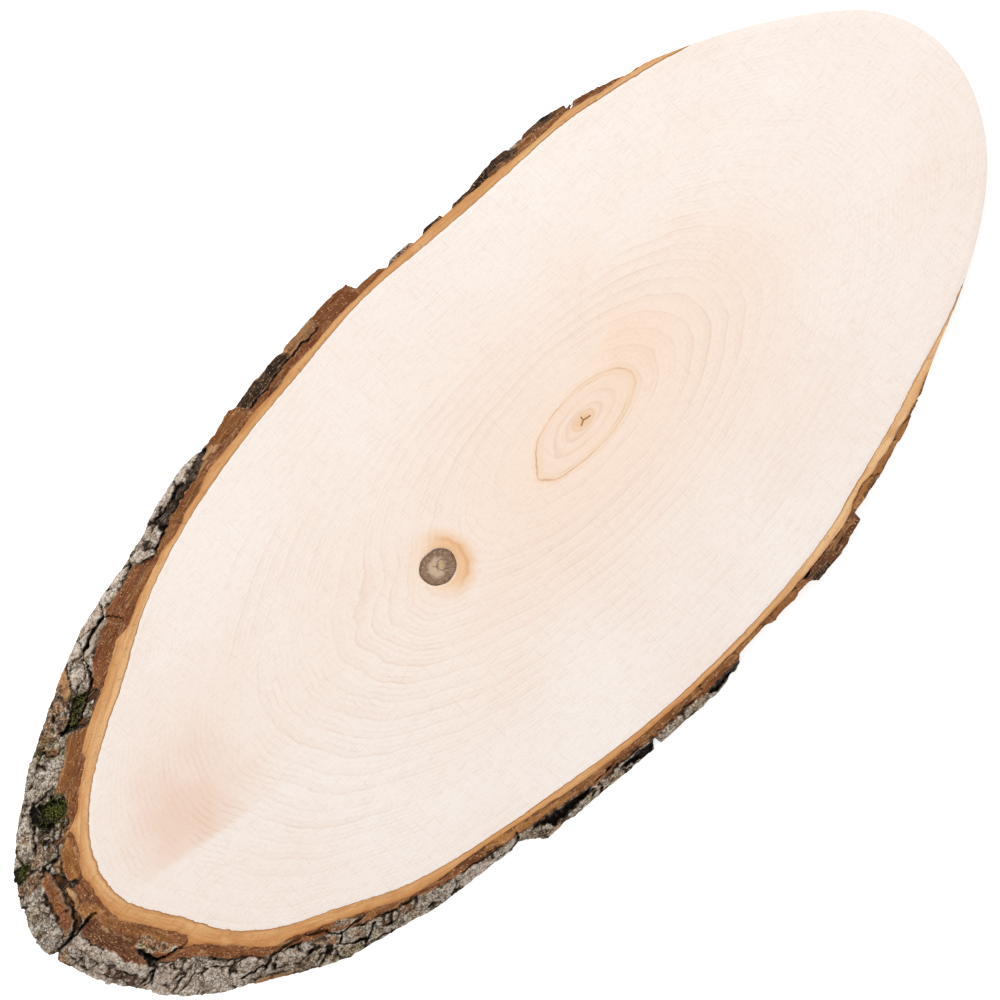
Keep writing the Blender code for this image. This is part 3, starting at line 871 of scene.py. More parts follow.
def layer_cloud(along_size, across_size, detail=2.0, first=None, second=None):
    """Noise in the layer's own two coordinates, with the sizes of its cells in mm round and across."""
    along = math("DIVIDE", first or around, along_size)
    over = math("DIVIDE", second or across, across_size)
    made = add_node(tree, "CombineXYZ", {"X": along, "Y": over})
    return add_node(tree, "TexNoise",
        {"Vector": made.outputs[0], "Scale": 1.0, "Detail": detail}).outputs["Fac"]


colour = mix(ramp(layer_cloud(14.0, 0.5, 3.0), 0.4, 0.7, 0.0, 0.55), tint, rgba("#b9773f"))
colour = glaze(
    colour,
    (ramp(layer_cloud(3.0, 0.16, 2.0), 0.5, 0.7, 0.0, 0.45), "#e9c08a"),
    (ramp(layer_cloud(0.7, 2.2, 3.0), 0.58, 0.72, 0.0, 0.4), "#9b6236"),
    (ramp(cloud(2300.0), 0.5, 0.75, 0.0, 0.35), "#a56d3f"),
)
dress(colour, layer_cloud(1.5, 0.2, 3.0), 0.3)

pale_side = (
    ease(262, 282, tan_degrees) * ease(330, 312, tan_degrees)
    + 0.6 * ease(75, 50, np.abs(tan_degrees))
)
tan_mm = tan_across * (tan_outer - tan_inner)
tan_colour = blend(linear("#d1955c"), linear("#efc594"),
    np.tile(np.clip(pale_side, 0, 1), (len(tan_rows), 1)))
patchy = noise(tan_around, tan_mm * 3, 0.0, 5.0)
tan_colour = blend(tan_colour, linear("#e3b27a"), 0.7 * ease(-0.2, 0.6, patchy))
tan_colour = blend(tan_colour, linear("#b5733d"),
    0.5 * ease(0.1, 0.7, noise(tan_around, tan_mm * 2, 0.0, 2.5, 2.0)))
left_side = ease(108, 128, tan_degrees) * ease(186, 164, tan_degrees)
tan_colour = paint_over(
    tan_colour,
    ("#efc08b", 0.85 * ease(1.0, 0.1, tan_across) * (0.4 + 0.6 * left_side)),
    ("#b4713c", 0.55 * ease(0.72, 1.0, tan_across) * (1 - 0.5 * left_side)),
    ("#a86c3a", ease(0.42, 0.2, tan_mm) * (1 - 0.4 * left_side)),
)
# Painted shade: under the face the inner bark's outer wall is painted near black-brown, as the shadow in the
# bark's gaps
painted_gap_shade = (tan_across > 0.9) * ease(0.1, 0.5, THICK - tan_z) * (np.cos(np.radians(tan_degrees)) < 0.6)
tan_colour = blend(tan_colour, linear("#38271d"), painted_gap_shade)
inner_bark = add_mesh(
    "bast_ring",
    np.c_[tan_x.ravel(), tan_y.ravel(), tan_z.ravel()],
    closed_grid(len(tan_rows), len(tan_degrees)),
    tan_material,
    tan_colour.reshape(-1, 3),
    around=tan_around,
    across=tan_mm,
)
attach(inner_bark, "root")
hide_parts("inner_bark")

# %% [markdown]
# ## The outer bark, as a map seen from above
#
# Alder bark is dead cork that the growing trunk has torn into plates. On the slice it shows twice: the saw
# cut it flat and brown next to the inner bark, and past that cut its grey outside slopes down to the table.
# Each plate, tile, hollow and crack is drawn as an outline in the trunk's own terms: degrees round
# the trunk and mm outside RADIUS, as seen from above. A map that is fine enough for the outlines then gets
# a height and a colour everywhere.

# %% Outlines of the bark's plates
BARK = {
    "cut": "#935b37",
    "cut_light": "#a06a3e",
    "cut_tan": "#b67c45",
    "cut_dark": "#633c26",
    "cut_red": "#734830",
    "chip": "#d2a679",
    "orange": "#ab7d56",
    "flake": "#7c5239",
    "grey": "#ab9d8e",
    "pale": "#cfc4b6",
    "dim": "#8f8172",
    "brown_grey": "#745c49",
    "purple": "#42312a",
    # dark: mostly painted shade in hollows and on plates in shadow, partly the brown-black of deep bark
    "dark": "#3a2f27",
    # black: painted shade in deep hollows, plate grooves and cracks
    "black": "#17120f",
    "moss": "#20260f",
}

# Degrees, mm: where the bark ends as seen from above
SILHOUETTE = [
    (48, 3.2), (50, 3.8), (55, 5.0), (57, 4.9), (60, 5.7), (63.2, 6.2), (63.5, 6.7), (65, 7.2), (67, 7.8),
    (68, 7.4), (70, 6.5), (73, 6.3), (73.5, 5.6), (75, 4.6), (76, 3.5), (78, 3.3), (78.4, 1.9), (79.3, 1.9),
    (79.6, 3.2), (81.7, 3.3), (82, 1.9), (83, 1.9), (83.5, 3.7), (86, 3.7), (86.5, 2.2), (87.3, 4.4),
    (90, 4.8), (90.4, 8.4), (92, 9.4), (95, 9.6), (98.5, 9.2), (99, 9.6), (103, 9.8), (105, 9.4),
    (105.5, 10.6), (108, 9.6), (110, 10.0), (110.3, 11.0), (111.5, 12.2), (113.5, 12.5), (115, 12.4),
    (117.5, 11.8), (120, 11.2), (123, 11.7), (125, 12.6), (126.8, 12.8), (130, 14.1), (135, 14.4),
    (140, 13.9), (145, 15.2), (150, 14.9), (155, 15.9), (160, 16.4), (165, 16.2), (170, 16.5), (175, 15.8),
    (176.8, 15.4), (177.5, 14.4), (178.2, 15.2), (185, 14.0), (190, 13.5), (195, 12.7), (200, 13.0),
    (205, 13.1), (210, 12.4), (215, 12.3), (220, 12.7), (225, 12.7), (230, 11.4), (235, 11.0), (240, 8.4),
    (242.8, 7.6), (243.5, 7.0), (245, 8.4), (247, 11.6), (249, 10.6), (253, 10.0), (255, 9.9), (257, 9.7),
    (259.3, 9.9), (259.6, 6.4), (260.1, 9.6), (265, 10.4), (265.8, 10.0), (266.5, 10.6), (268, 10.4),
    (269, 9.8), (270, 8.8), (270.6, 5.8), (274, 5.7), (275, 7.0), (276, 6.8), (277.5, 7.7), (278.3, 6.5),
    (279.5, 6.8), (279.8, 7.2), (280, 9.2), (283, 9.4), (285, 8.5), (287, 7.8), (287.6, 4.9), (288.4, 4.3),
    (290, 4.4), (293, 4.0), (294, 3.4), (296, 3.0), (296.3, 3.6), (298, 3.2), (299.5, 2.2), (301, 1.9),
    (305, 0.9), (310, -0.1), (312, -1.0),
]
# Degrees, mm: where the flat sawn bark ends and its outside begins
CUT_EDGE = [
    (48, 3.1), (55, 4.9), (60, 5.5), (63.5, 6.5), (67, 7.4), (70, 6.3), (73, 6.1), (75, 4.4), (78, 3.1),
    (80, 3.0), (86, 3.5), (87.3, 4.3), (90, 4.5), (90.4, 8.0), (94.5, 8.6), (98.5, 8.4), (99, 9.0),
    (104.8, 8.9), (105.4, 9.6), (108, 8.6), (110, 7.8), (112, 6.4), (114, 6.1), (118, 6.2), (119, 5.6),
    (122, 4.4), (123, 8.2), (125, 8.4), (128, 9.3), (129, 8.6), (129.8, 7.7), (131, 8.3), (135, 6.7),
    (139, 4.9), (139.5, 3.0), (143.5, 3.2), (144.5, 7.2), (148, 6.7), (151.5, 7.8), (153, 6.8),
    (153.4, 5.6), (158.5, 5.0), (160, 5.0), (161.5, 5.5), (163, 6.9), (168, 7.2), (169, 7.6), (171, 6.9),
    (173.4, 7.8), (176.5, 7.7), (177.2, 8.6), (181, 9.1), (186, 8.8), (192, 8.8), (194, 7.2), (198, 5.6),
    (200, 5.0), (206, 5.3), (211, 6.3), (212, 5.4), (216, 4.9), (220, 4.4), (224, 5.2), (232, 5.4),
    (239, 5.2), (243, 4.2), (245, 4.2), (252, 5.0), (255, 5.8), (259.2, 6.1), (260.2, 7.0), (265, 7.4),
    (270, 7.4), (270.6, 5.6), (274, 5.5), (275, 6.6), (279.5, 6.5), (280, 8.8), (283, 9.0), (285, 8.2),
    (287, 7.4), (288, 4.1), (294, 3.2), (300, 2.0), (305, 0.8), (312, -1.1),
]
# Kind, mm, colour, corners in (degrees, mm). Kinds: cut, that many mm under the sawn face; wall, that far
# out of the bark's general slope; pit, that deep under it
PLATES = [
    ("cut", 0.05, "cut", [(57, 3.9), (58.5, 3.2), (60, 3.9), (63.4, 4.6), (63.2, 6.4), (60, 6.0), (57, 5.1)]),
    ("cut", 0.1, "cut_light", [(63.7, 4.6), (66, 3.2), (70, 2.1), (73.2, 1.8), (73, 3.9), (68, 5.2),
        (64, 5.8)]),
    ("cut", 0.2, "cut_red", [(63.6, 5.8), (68, 5.2), (73, 3.9), (73.4, 6.6), (70, 6.8), (67, 8.0),
        (63.6, 7.0)]),
    ("cut", 0.5, "purple", [(70, 3.0), (73.5, 2.8), (73.6, 6.4), (70.2, 6.8)]),
    ("cut", 0.6, "dark", [(65.4, 6.0), (67, 6.0), (68.4, 6.7), (68.4, 8.0), (65.2, 8.0)]),
    ("cut", 1.0, "dark", [(73.4, 1.7), (73.4, 6.0), (75, 4.9), (76, 3.8), (78.2, 3.5), (78.2, 1.7)]),
    ("cut", 0.7, "dark", [(79.4, 1.6), (79.4, 3.6), (82, 3.6), (82, 1.6)]),
    ("pit", 0.8, "dim", [(83.2, 1.6), (83.2, 4.0), (86.2, 4.0), (86.2, 1.6)]),
    ("cut", 0.05, "cut_light", [(87, 1.7), (87, 5.2), (90.2, 5.2), (90.2, 2.0)]),
    ("cut", 0.1, "cut", [(90.1, 2.2), (90.3, 9.6), (94.6, 9.8), (94.8, 5.2), (94.6, 2.4)]),
    ("cut", 0.3, "orange", [(94.9, 5.7), (94.9, 9.6), (98.5, 9.6), (98.5, 5.8)]),
    ("cut", 0.5, "dark", [(98.6, 5.3), (98.8, 9.8), (104.9, 9.9), (105, 5.4)]),
    ("pit", 3.0, "black", [(95, 4.9), (95, 5.6), (99, 5.5), (105, 5.5), (105, 4.6), (100, 4.7)]),
    ("cut", 0.4, "cut_dark", [(101, 2.0), (101, 3.2), (103, 3.2), (103, 2.1)]),
    ("cut", 0.2, "cut_light", [(105.2, 3.5), (105.3, 11.0), (108, 9.9), (110, 9.4), (110, 6.3), (107, 3.9)]),
    ("cut", 0.05, "cut", [(107, 3.0), (107.2, 4.7), (112, 5.0), (112, 3.7)]),
    ("cut", 0.0, "chip", [(109, 6.1), (109.6, 8.3), (112.4, 8.3), (112.4, 6.2)]),
    ("wall", -0.8, "dark", [(110, 10.6), (112.3, 8.6), (114, 8.2), (119.5, 10.6), (118.5, 6.4),
        (113.5, 6.2), (110, 8)]),
    ("wall", 1.3, "pale", [(109.9, 13), (110.2, 10.5), (111.5, 9.9), (113.5, 9.4), (116, 9.2), (118, 10.2),
        (118, 14), (113, 14.5)]),
    ("cut", 0.05, "cut_light", [(112.2, 3.8), (112.4, 6.1), (118, 6.2), (118.3, 2.4), (115, 2.4)]),
    ("wall", 0.5, "grey", [(118.3, 9.9), (118.2, 12), (123, 13), (123, 6.7), (122.2, 4.2), (121, 5.3),
        (119, 6.0)]),
    ("cut", 0.0, "cut_light", [(118.5, 1.9), (118.8, 5.2), (121.9, 4.1), (122.8, 4.6), (122.8, 2.6)]),
    ("cut", 0.2, "cut", [(123, 8.8), (125, 8.4), (128, 9.5), (129, 9.1), (129, 6.3), (127, 4.9),
        (124, 4.9), (123, 6.3)]),
    ("wall", 0.7, "pale", [(123, 9.2), (125, 8.9), (127.8, 9.9), (126.8, 13.4), (123.2, 13)]),
    ("cut", 0.05, "cut_light", [(123.6, 2.2), (123.6, 4.9), (128.8, 4.9), (129, 2.0)]),
    ("cut", 0.3, "cut", [(129.8, 7.7), (131, 8.4), (135, 6.7), (139.5, 4.8), (139, 2.4), (134, 2.7),
        (131, 3.4)]),
    ("cut", 0.2, "pale", [(130, 8.6), (131.5, 10.0), (134, 9.6), (134, 8.2), (131.5, 8.6)]),
    ("torn", 0.4, "orange", [(133.5, 15), (139.2, 14), (139.4, 9.5), (136.5, 10.9)]),
    ("wall", 0.9, "pale", [(128, 14.4), (133.5, 14.4), (136.5, 10.9), (139, 8.4), (136.5, 7.7),
        (133.5, 10.7), (130, 10.9)]),
    ("wall", 0.6, "grey", [(126.9, 13.4), (128.9, 10.2), (130, 10.9), (130.9, 13.6), (130, 15)]),
    ("wall", 0.3, "brown_grey", [(139.2, 10.9), (136.5, 13.0), (137, 15), (144.4, 16), (144.3, 13),
        (143.8, 8.7), (141, 8.1)]),
    ("pit", 2.6, "dark", [(139, 9.5), (141, 8.1), (144, 9.5), (144.5, 4.2), (143, 3.0), (140, 2.4),
        (139, 4.9)]),
    ("pit", 0.9, "dim", [(140.8, 3.2), (143.2, 3.2), (143.4, 5.2), (141, 4.8)]),
    ("pit", 1.9, "dark", [(139.6, 5.5), (142.4, 5.6), (143.4, 8.0), (140.6, 7.8)]),
    ("torn", 0.8, "flake", [(144.3, 13.4), (145.6, 13.4), (147.2, 9.1), (145.6, 8.6)]),
    ("wall", 0.9, "grey", [(144.7, 16), (151, 16), (152, 12.7), (151, 7.7), (146, 7.6), (147, 9.5),
        (145, 12.7)]),
    ("cut", 0.12, "cut_light", [(144.5, 7.4), (148, 6.7), (151.5, 7.9), (153, 7.7), (152.5, 5.2),
        (150, 3.2), (144.5, 3)]),
    ("cut", 0.05, "cut_light", [(152.4, 5.8), (155, 5.9), (158.6, 5.2), (160, 4.4), (158.5, 3.2),
        (152.8, 3.0)]),
    ("cut", 0.1, "cut", [(148.2, 2.6), (151, 2.3), (155.4, 2.6), (158.6, 2.9), (159.6, 3.6), (158, 4.7),
        (156, 5.2), (154, 5.1), (152, 4.7), (150, 3.7)]),
    ("pit", 2.9, "moss", [(152.2, 11.8), (152.9, 10.2), (152.4, 8.6), (153.6, 7.3), (153.8, 6.0),
        (155.2, 5.7), (156.2, 5.1),
        (157.5, 5.4), (158.0, 6.9), (157.1, 7.9), (156.9, 9.3), (156.0, 11.0), (154.8, 11.6), (153.6, 12.3)]),
    ("pit", 3.4, "black", [(158.2, 6.6), (157.6, 8.6), (156.9, 10.2), (155.9, 11.6), (154.3, 12.7),
        (152.6, 13.6), (152.2, 12.6),
        (153.5, 11.6), (154.7, 10.7), (156.0, 9.4), (156.6, 7.6), (157.6, 6.2)]),
    ("wall", 0.9, "grey", [(151.5, 15), (152, 17), (160, 17.6), (160, 12.5), (155.5, 12.4), (153, 13.7)]),
    ("wall", 0.5, "purple", [(157.2, 10.6), (157.4, 11.9), (160.0, 12.2), (161.6, 10.8), (161.8, 8.2),
        (160.6, 7.2), (158.2, 7.4), (157.6, 8.6)]),
    ("wall", 0.9, "pale", [(159.4, 9.6), (159.5, 10.5), (160.4, 10.6), (160.5, 9.8)]),
    ("wall", -0.3, "brown_grey", [(157.2, 5.3), (157.4, 8.1), (160.4, 8.4), (161.4, 5.3)]),
    ("pit", 1.4, "moss", [(160.1, 13.6), (159.7, 15.2), (160.2, 17.4), (162.2, 17.4), (162.7, 15.6),
        (162.1, 13.9), (161, 12.9)]),
    ("wall", 0.3, "brown_grey", [(162.4, 10.8), (162.6, 17), (165, 17), (165, 12.6), (164.2, 10.8)]),
    ("wall", 0.7, "dim", [(160.3, 8.0), (160.5, 11.6), (162.8, 11.3), (162.8, 7.8)]),
    ("torn", 0.5, "chip", [(163.2, 7.7), (163.4, 9.2), (166, 9.1), (166, 7.6)]),
    ("cut", 0.05, "cut_tan", [(160.7, 5.6), (162, 4.6), (164, 4.1), (166, 4), (168, 4.4), (169.3, 5.6),
        (168.2, 7), (165, 7.4), (162, 7.1)]),
    ("torn", 0.5, "cut", [(163.5, 10.9), (165, 11.8), (170, 11.5), (176, 11.8), (176, 10.2), (174, 9.1),
        (170, 8.8), (166, 9.5), (163.5, 10.4)]),
    ("wall", 1.1, "grey", [(165, 12.7), (165, 17.5), (175.5, 17), (176.4, 14.1), (176.5, 12.7),
        (175, 11.7), (170, 11.4), (166, 11.7)]),
    ("pit", 4.0, "black", [(166.0, 9.3), (166.4, 7.6), (168.3, 6.7), (169.7, 6.3), (170.1, 7.3),
        (171.4, 8.1), (173.7, 8.2),
        (175.4, 8.1), (177.2, 9.2), (176.6, 10.6), (174.6, 9.3), (170.4, 8.6), (167.8, 9.2)]),
    ("cut", 0.3, "cut", [(169.2, 7.6), (170.4, 6.2), (173, 6.2), (174.2, 7.6), (173.6, 8.7), (171, 8.4)]),
    ("cut", 0.0, "chip", [(168.6, 7.6), (169.6, 7.5), (171.4, 6.6), (173, 6.9), (173.8, 8.4), (172.6, 7.6),
        (171, 7.4), (169.4, 8.3)]),
    ("pit", 2.6, "black", [(168.7, 5.5), (168.9, 7.0), (169.7, 7.0), (169.7, 5.3)]),
    ("cut", 0.15, "cut", [(170, 4.2), (170, 6.4), (173.4, 6.4), (173.5, 4.4)]),
    ("cut", 0.05, "cut_tan", [(173.5, 5.7), (173.6, 7.6), (176.4, 7.7), (176.6, 5.9)]),
    ("cut", 0.1, "cut", [(173.6, 4.4), (173.6, 5.6), (175, 5.6), (175, 4.4)]),
    ("cut", 0.0, "cut_tan", [(175.1, 4.3), (175.1, 6.6), (178, 6.9), (178, 4.4)]),
    ("wall", 0.3, "brown_grey", [(178, 12.7), (178, 16), (181, 16), (181, 12.7)]),
    ("wall", 0.6, "grey", [(178, 9.5), (178, 12.7), (181, 13), (184, 15.5), (194, 14.5), (194, 8.4),
        (186, 9.0), (181, 9.3)]),
    ("wall", 0.5, "dim", [(181.4, 10.8), (184.6, 11.1), (184.2, 13.2), (181.6, 12.9)]),
    ("wall", 0.9, "pale", [(184, 8.9), (193.5, 8.9), (193.5, 10.6), (184, 10.7)]),
    ("wall", 0.3, "purple", [(187, 10.9), (194, 10.8), (194, 12.6), (187, 12.7)]),
    ("cut", 0.3, "cut_red", [(177.5, 9.5), (181, 9.1), (186, 8.8), (192, 9.1), (190, 7.4), (186, 5.8),
        (180, 6.4), (177.2, 7.2)]),
    ("cut", 0.1, "chip", [(180, 6.2), (187, 5.5), (187, 5.9), (180, 6.5)]),
    ("cut", 0.05, "cut_light", [(178, 6.2), (184, 5.5), (190, 4.2), (196, 3.5), (196, 2.0), (190, 2.1),
        (184, 3.2), (182, 4.2), (178, 4.2)]),
    ("pit", 0.7, "brown_grey", [(187.4, 3.6), (188, 6.2), (190.6, 6.4), (193.6, 5.4), (196, 3.9),
        (191.5, 3.5)]),
    ("pit", 3.2, "black", [(188.6, 6.7), (191.5, 7.7), (193.6, 8.6), (194.2, 7.0), (192, 6.2), (189.4, 6.2)]),
    ("wall", 0.6, "grey", [(194.3, 7.6), (194, 14), (200, 14), (200, 5.2), (198, 5.8)]),
    ("cut", 0.3, "cut", [(194.2, 7.2), (198, 5.6), (200, 4.9), (200, 3.4), (197.6, 3.4), (195.4, 4.9)]),
    ("wall", 0.5, "dim", [(200, 5.3), (200, 14), (212, 14), (212, 7), (206, 5.6)]),
    ("cut", 0.2, "cut", [(200, 4.9), (206, 5.3), (211, 6.3), (212, 5.3), (210, 4.4), (206, 3.0), (201, 2.6)]),
    ("torn", 0.7, "orange", [(211, 11.4), (211, 14), (217.5, 14), (216.5, 10.9), (213, 10.6)]),
    ("cut", 0.05, "chip", [(212, 4.3), (213.5, 4.7), (214, 3.2), (212.4, 3.4)]),
    ("wall", 0.8, "pale", [(213, 6.0), (213.6, 9.1), (217, 9.6), (218, 6.3), (216, 4.9)]),
    ("pit", 0.7, "dim", [(219.8, 2.0), (220, 4.3), (223.8, 4.3), (223.8, 2.8)]),
    ("wall", 0.7, "grey", [(222, 5.6), (222, 9.1), (225.6, 9.1), (225.6, 5.6)]),
    ("wall", 0.4, "dim", [(219.6, 9.5), (219.6, 14), (228.4, 14), (228, 9.6)]),
    ("wall", 0.6, "grey", [(226, 5.6), (226, 11), (228.6, 13.4), (236, 13), (236, 5.6)]),
    ("wall", 0.4, "brown_grey", [(227, 5.6), (227, 8.2), (231, 8.2), (231, 5.7)]),
    ("cut", 0.15, "cut_light", [(224, 3.2), (224, 5.2), (239, 5.2), (239, 2.0), (232, 3.7)]),
    ("cut", 0.3, "cut", [(231, 3.7), (231, 5.3), (239, 5.2), (239, 2.6)]),
    ("wall", 0.6, "pale", [(236, 5.3), (236, 9), (240, 9), (243, 7.4), (243, 4.4), (240, 5.0)]),
    ("cut", 0.15, "cut_tan", [(239, 1.3), (239, 4.2), (250, 4.3), (250, 2.2), (245, 1.5)]),
    ("wall", 0.8, "dim", [(243.5, 7.6), (245, 9), (246, 12), (249, 11.6), (249, 10), (248, 8.4),
        (246, 5.3), (243.5, 4.9)]),
    ("wall", 0.4, "dim", [(249, 7.6), (249, 11), (253, 11), (253, 7.0)]),
    ("cut", 0.15, "cut_light", [(250, 2.3), (250, 4.4), (259.4, 5.4), (270, 6.0), (270, 3.6), (262, 3.1),
        (254, 2.7)]),
    ("cut", 0.35, "cut", [(252, 4.5), (252, 6.0), (259.2, 6.2), (259.2, 5.2)]),
    ("wall", 0.6, "dim", [(253.2, 6.2), (253.2, 11), (259.5, 11), (259.5, 6.2)]),
    ("wall", 0.6, "dim", [(260.2, 6.2), (260.2, 11), (265.6, 11.5), (265.6, 6.4)]),
    ("pit", 4.0, "black", [(247.6, 8.6), (249.5, 8.6), (252, 7.2), (252.4, 5.2), (248, 4.6), (245.4, 4.4),
        (246, 5.6)]),
    ("pit", 4.0, "black", [(255.3, 6.9), (257, 9.0), (259.2, 9.8), (259.5, 6.6), (257, 6.2)]),
    ("pit", 4.0, "black", [(266, 7.4), (266.5, 9.8), (269, 9.2), (270, 8.4), (270, 7.0)]),
    ("cut", 0.1, "cut_tan", [(270.2, 3.6), (270.4, 5.9), (274, 5.9), (274, 4.0)]),
    ("cut", 0.2, "cut_light", [(274.2, 4.0), (274.2, 6), (275, 7.4), (277.5, 8.1), (279.4, 7.2),
        (279.4, 4.3)]),
    ("cut", 0.35, "cut_red", [(279.8, 4.1), (279.8, 9.6), (283, 9.8), (285.4, 8.8), (287.5, 8.2),
        (287.8, 4.6), (286, 4.1)]),
    ("cut", 0.7, "dark", [(279.8, 6.6), (279.8, 9.6), (282.6, 9.8), (282.2, 6.8)]),
    ("cut", 0.15, "cut_light", [(283, 4.4), (287.2, 4.4), (287.2, 6.0), (283.4, 6.0)]),
    ("cut", 0.15, "cut_tan", [(287.8, 3.0), (287.8, 4.9), (294, 4.2), (296.3, 4.2), (300, 2.6), (298, 1.0),
        (294, 1.3), (291, 1.0), (289, 1.8)]),
    ("cut", 0.5, "cut_dark", [(289.4, 3.6), (289.6, 5.2), (293.6, 4.8), (293.4, 3.4)]),
    ("cut", 0.2, "cut_dark", [(299.6, 1.5), (300, 2.8), (305, 1.2), (309, 0.4), (309, -0.2), (304, 0.2)]),
]
# Line in (degrees, mm), width in mm, depth in mm
CRACKS = [
    ([(63.3, 6.4), (63.3, 3.9)], 0.7, 2.5),
    ([(118.6, 6.2), (120.4, 5.3), (122.1, 4.2)], 0.8, 2.5),
    ([(126.6, 13.6), (127.6, 11.2), (128.8, 9.6), (130.4, 10.4), (133, 10.6), (135.5, 7.6), (137.6, 5.9),
        (139.2, 4.7)], 1.0, 4.5),
    ([(129, 9.5), (129.4, 7.0), (129.8, 4.9), (130.6, 3.4)], 0.6, 2.2),
    ([(130.8, 13.9), (131.6, 12.2), (133, 10.6)], 0.55, 2.0),
    ([(141, 7.6), (142.6, 8.2), (144, 9.0)], 0.8, 2.5),
    ([(153, 13.2), (155.5, 12.0), (160, 12.0)], 0.8, 3.0),
    ([(165.8, 9.2), (168, 8.6), (170, 8.4), (173.5, 8.4), (175.4, 9.0), (176.6, 10.2), (177.2, 12.4),
        (177.2, 16)], 1.7, 4.5),
    ([(177.4, 12), (177.2, 9.4), (176.8, 7.2), (177, 5.9)], 1.3, 3.5),
    ([(170, 4.4), (169.7, 6.0)], 0.4, 1.5),
    ([(193.4, 7.2), (194.4, 5.6), (195.4, 4.1), (197, 3.2)], 1.0, 3.5),
    ([(193.8, 8.0), (195, 10.5), (194.4, 13.8)], 0.6, 2.0),
    ([(200.2, 6.0), (201.4, 9.0), (200.6, 13.8)], 0.5, 1.5),
    ([(209.3, 10.2), (210.6, 9.2), (212, 8.0), (212.3, 5.6)], 0.8, 3.0),
    ([(212, 6.2), (213.8, 4.6), (215.5, 3.0), (218, 3.5), (221.5, 5.9), (222, 8.4), (223.4, 9.4),
        (226, 9.5)], 0.9, 3.5),
    ([(221.5, 6.0), (223, 4.2), (224.2, 2.6)], 0.7, 2.5),
    ([(225.7, 6.3), (225.8, 9.4), (226.2, 13.6)], 0.7, 2.5),
    ([(225.8, 11.4), (229, 10.8)], 0.6, 2.0),
    ([(236, 5.6), (236.6, 8.0), (235.8, 11.6)], 0.6, 1.8),
    ([(243.2, 3.2), (243.4, 5.0), (242.8, 8.2)], 0.8, 3.0),
    ([(252.4, 4.9), (255, 4.5)], 0.5, 2.0),
    ([(253, 6.2), (253.2, 8.4), (252.8, 10.8)], 0.6, 2.0),
    ([(265.5, 6.4), (265.7, 4.9), (265.9, 3.4)], 0.5, 2.0),
    ([(278.3, 4.3), (278.3, 6.6)], 0.5, 1.8),
    ([(279.5, 5.6), (281, 4.1), (284, 3.7)], 0.6, 2.0),
    ([(283, 7.4), (284, 6.6), (285, 5.6)], 0.35, 0.5),
    ([(292, 1.2), (292.4, 4.4)], 0.35, 1.0),
    ([(296.4, 0.9), (296.6, 3.4)], 0.35, 1.0),
]
# How pale the weathered outside is: degrees, share
PALENESS = [
    (95, 1.4), (104, 1.7), (121, 1.8), (124, 2.3), (137, 2.2), (141, 1.0), (144, 1.1), (151, 1.35),
    (156, 1.0), (165, 1.1), (176, 1.25), (182, 2.2), (211, 2.2), (216, 0.95), (226, 1.0), (231, 1.5),
    (262, 1.5), (270, 1.1),
]
# Spots of lichen: degrees, mm, size in mm, colour
LICHEN = [
    (205.9, 10.8, 1.5, "#dfe3e2"), (196.5, 11.6, 1.1, "#cfd2cc"), (183.4, 12.0, 1.2, "#b9c0c0"),
    (171.0, 14.6, 1.6, "#c9c9b8"),
    (149.0, 12.0, 1.3, "#c6c2ad"), (147.2, 9.2, 0.9, "#c9c08f"), (134.0, 11.5, 1.2, "#ded8cc"),
    (230.0, 8.6, 1.3, "#c3bfae"),
    (250.5, 8.8, 0.9, "#c9c6ba"), (145.4, 13.6, 0.8, "#b9b06a"), (159.9, 10.1, 0.8, "#e9e6e0"),
    (124.6, 11.6, 1.6, "#ded6cd"), (131.5, 12.8, 1.5, "#ddd5cb"),
]
print(len(PLATES), "plates and hollows,", len(CRACKS), "cracks")

# %% [markdown]
# ## From outlines to heights and colours
#
# The map has a cell for each tenth of a degree and tenth of a mm. The saw leaves a flat face up to the cut
# edge; past it the bark's outside slopes down evenly to the silhouette. Each outline then changes height
# and colour inside it, with a soft edge and a narrow groove along it, as plates have. Before that, every
# point is shifted a little by noise, so no outline stays as straight as it was drawn.

# %% The map
CELLS = 10  # to a degree, and to a mm
MAP_DEGREES = np.arange(0, 360, 0.1)
MAP_OUT = np.arange(-6.0, 19.0, 0.1)
BARK_TOP = THICK - 0.04  # a hair under the wood's face, as bark shrinks more
degrees, out = np.meshgrid(MAP_DEGREES, MAP_OUT, indexing="ij")
map_x = (RADIUS + out) * np.cos(np.radians(degrees)) / COS
map_y = (RADIUS + out) * np.sin(np.radians(degrees))


def map_noise(size, shift=0.0):
    """Noise at every cell of the map, at its place in plan as that stands when this is called."""
    return noise(map_x, map_y, 0.0, size, shift)


shift_x = 0.8 * map_noise(5.0) + 0.75 * map_noise(1.8, 1.0)
shift_x += 0.4 * map_noise(0.8, 2.0)
shift_y = 0.5 * map_noise(5.0, 3.0) + 0.5 * map_noise(1.8, 4.0)
shift_y += 0.3 * map_noise(0.8, 5.0)
map_x, map_y = map_x + shift_x, map_y + shift_y


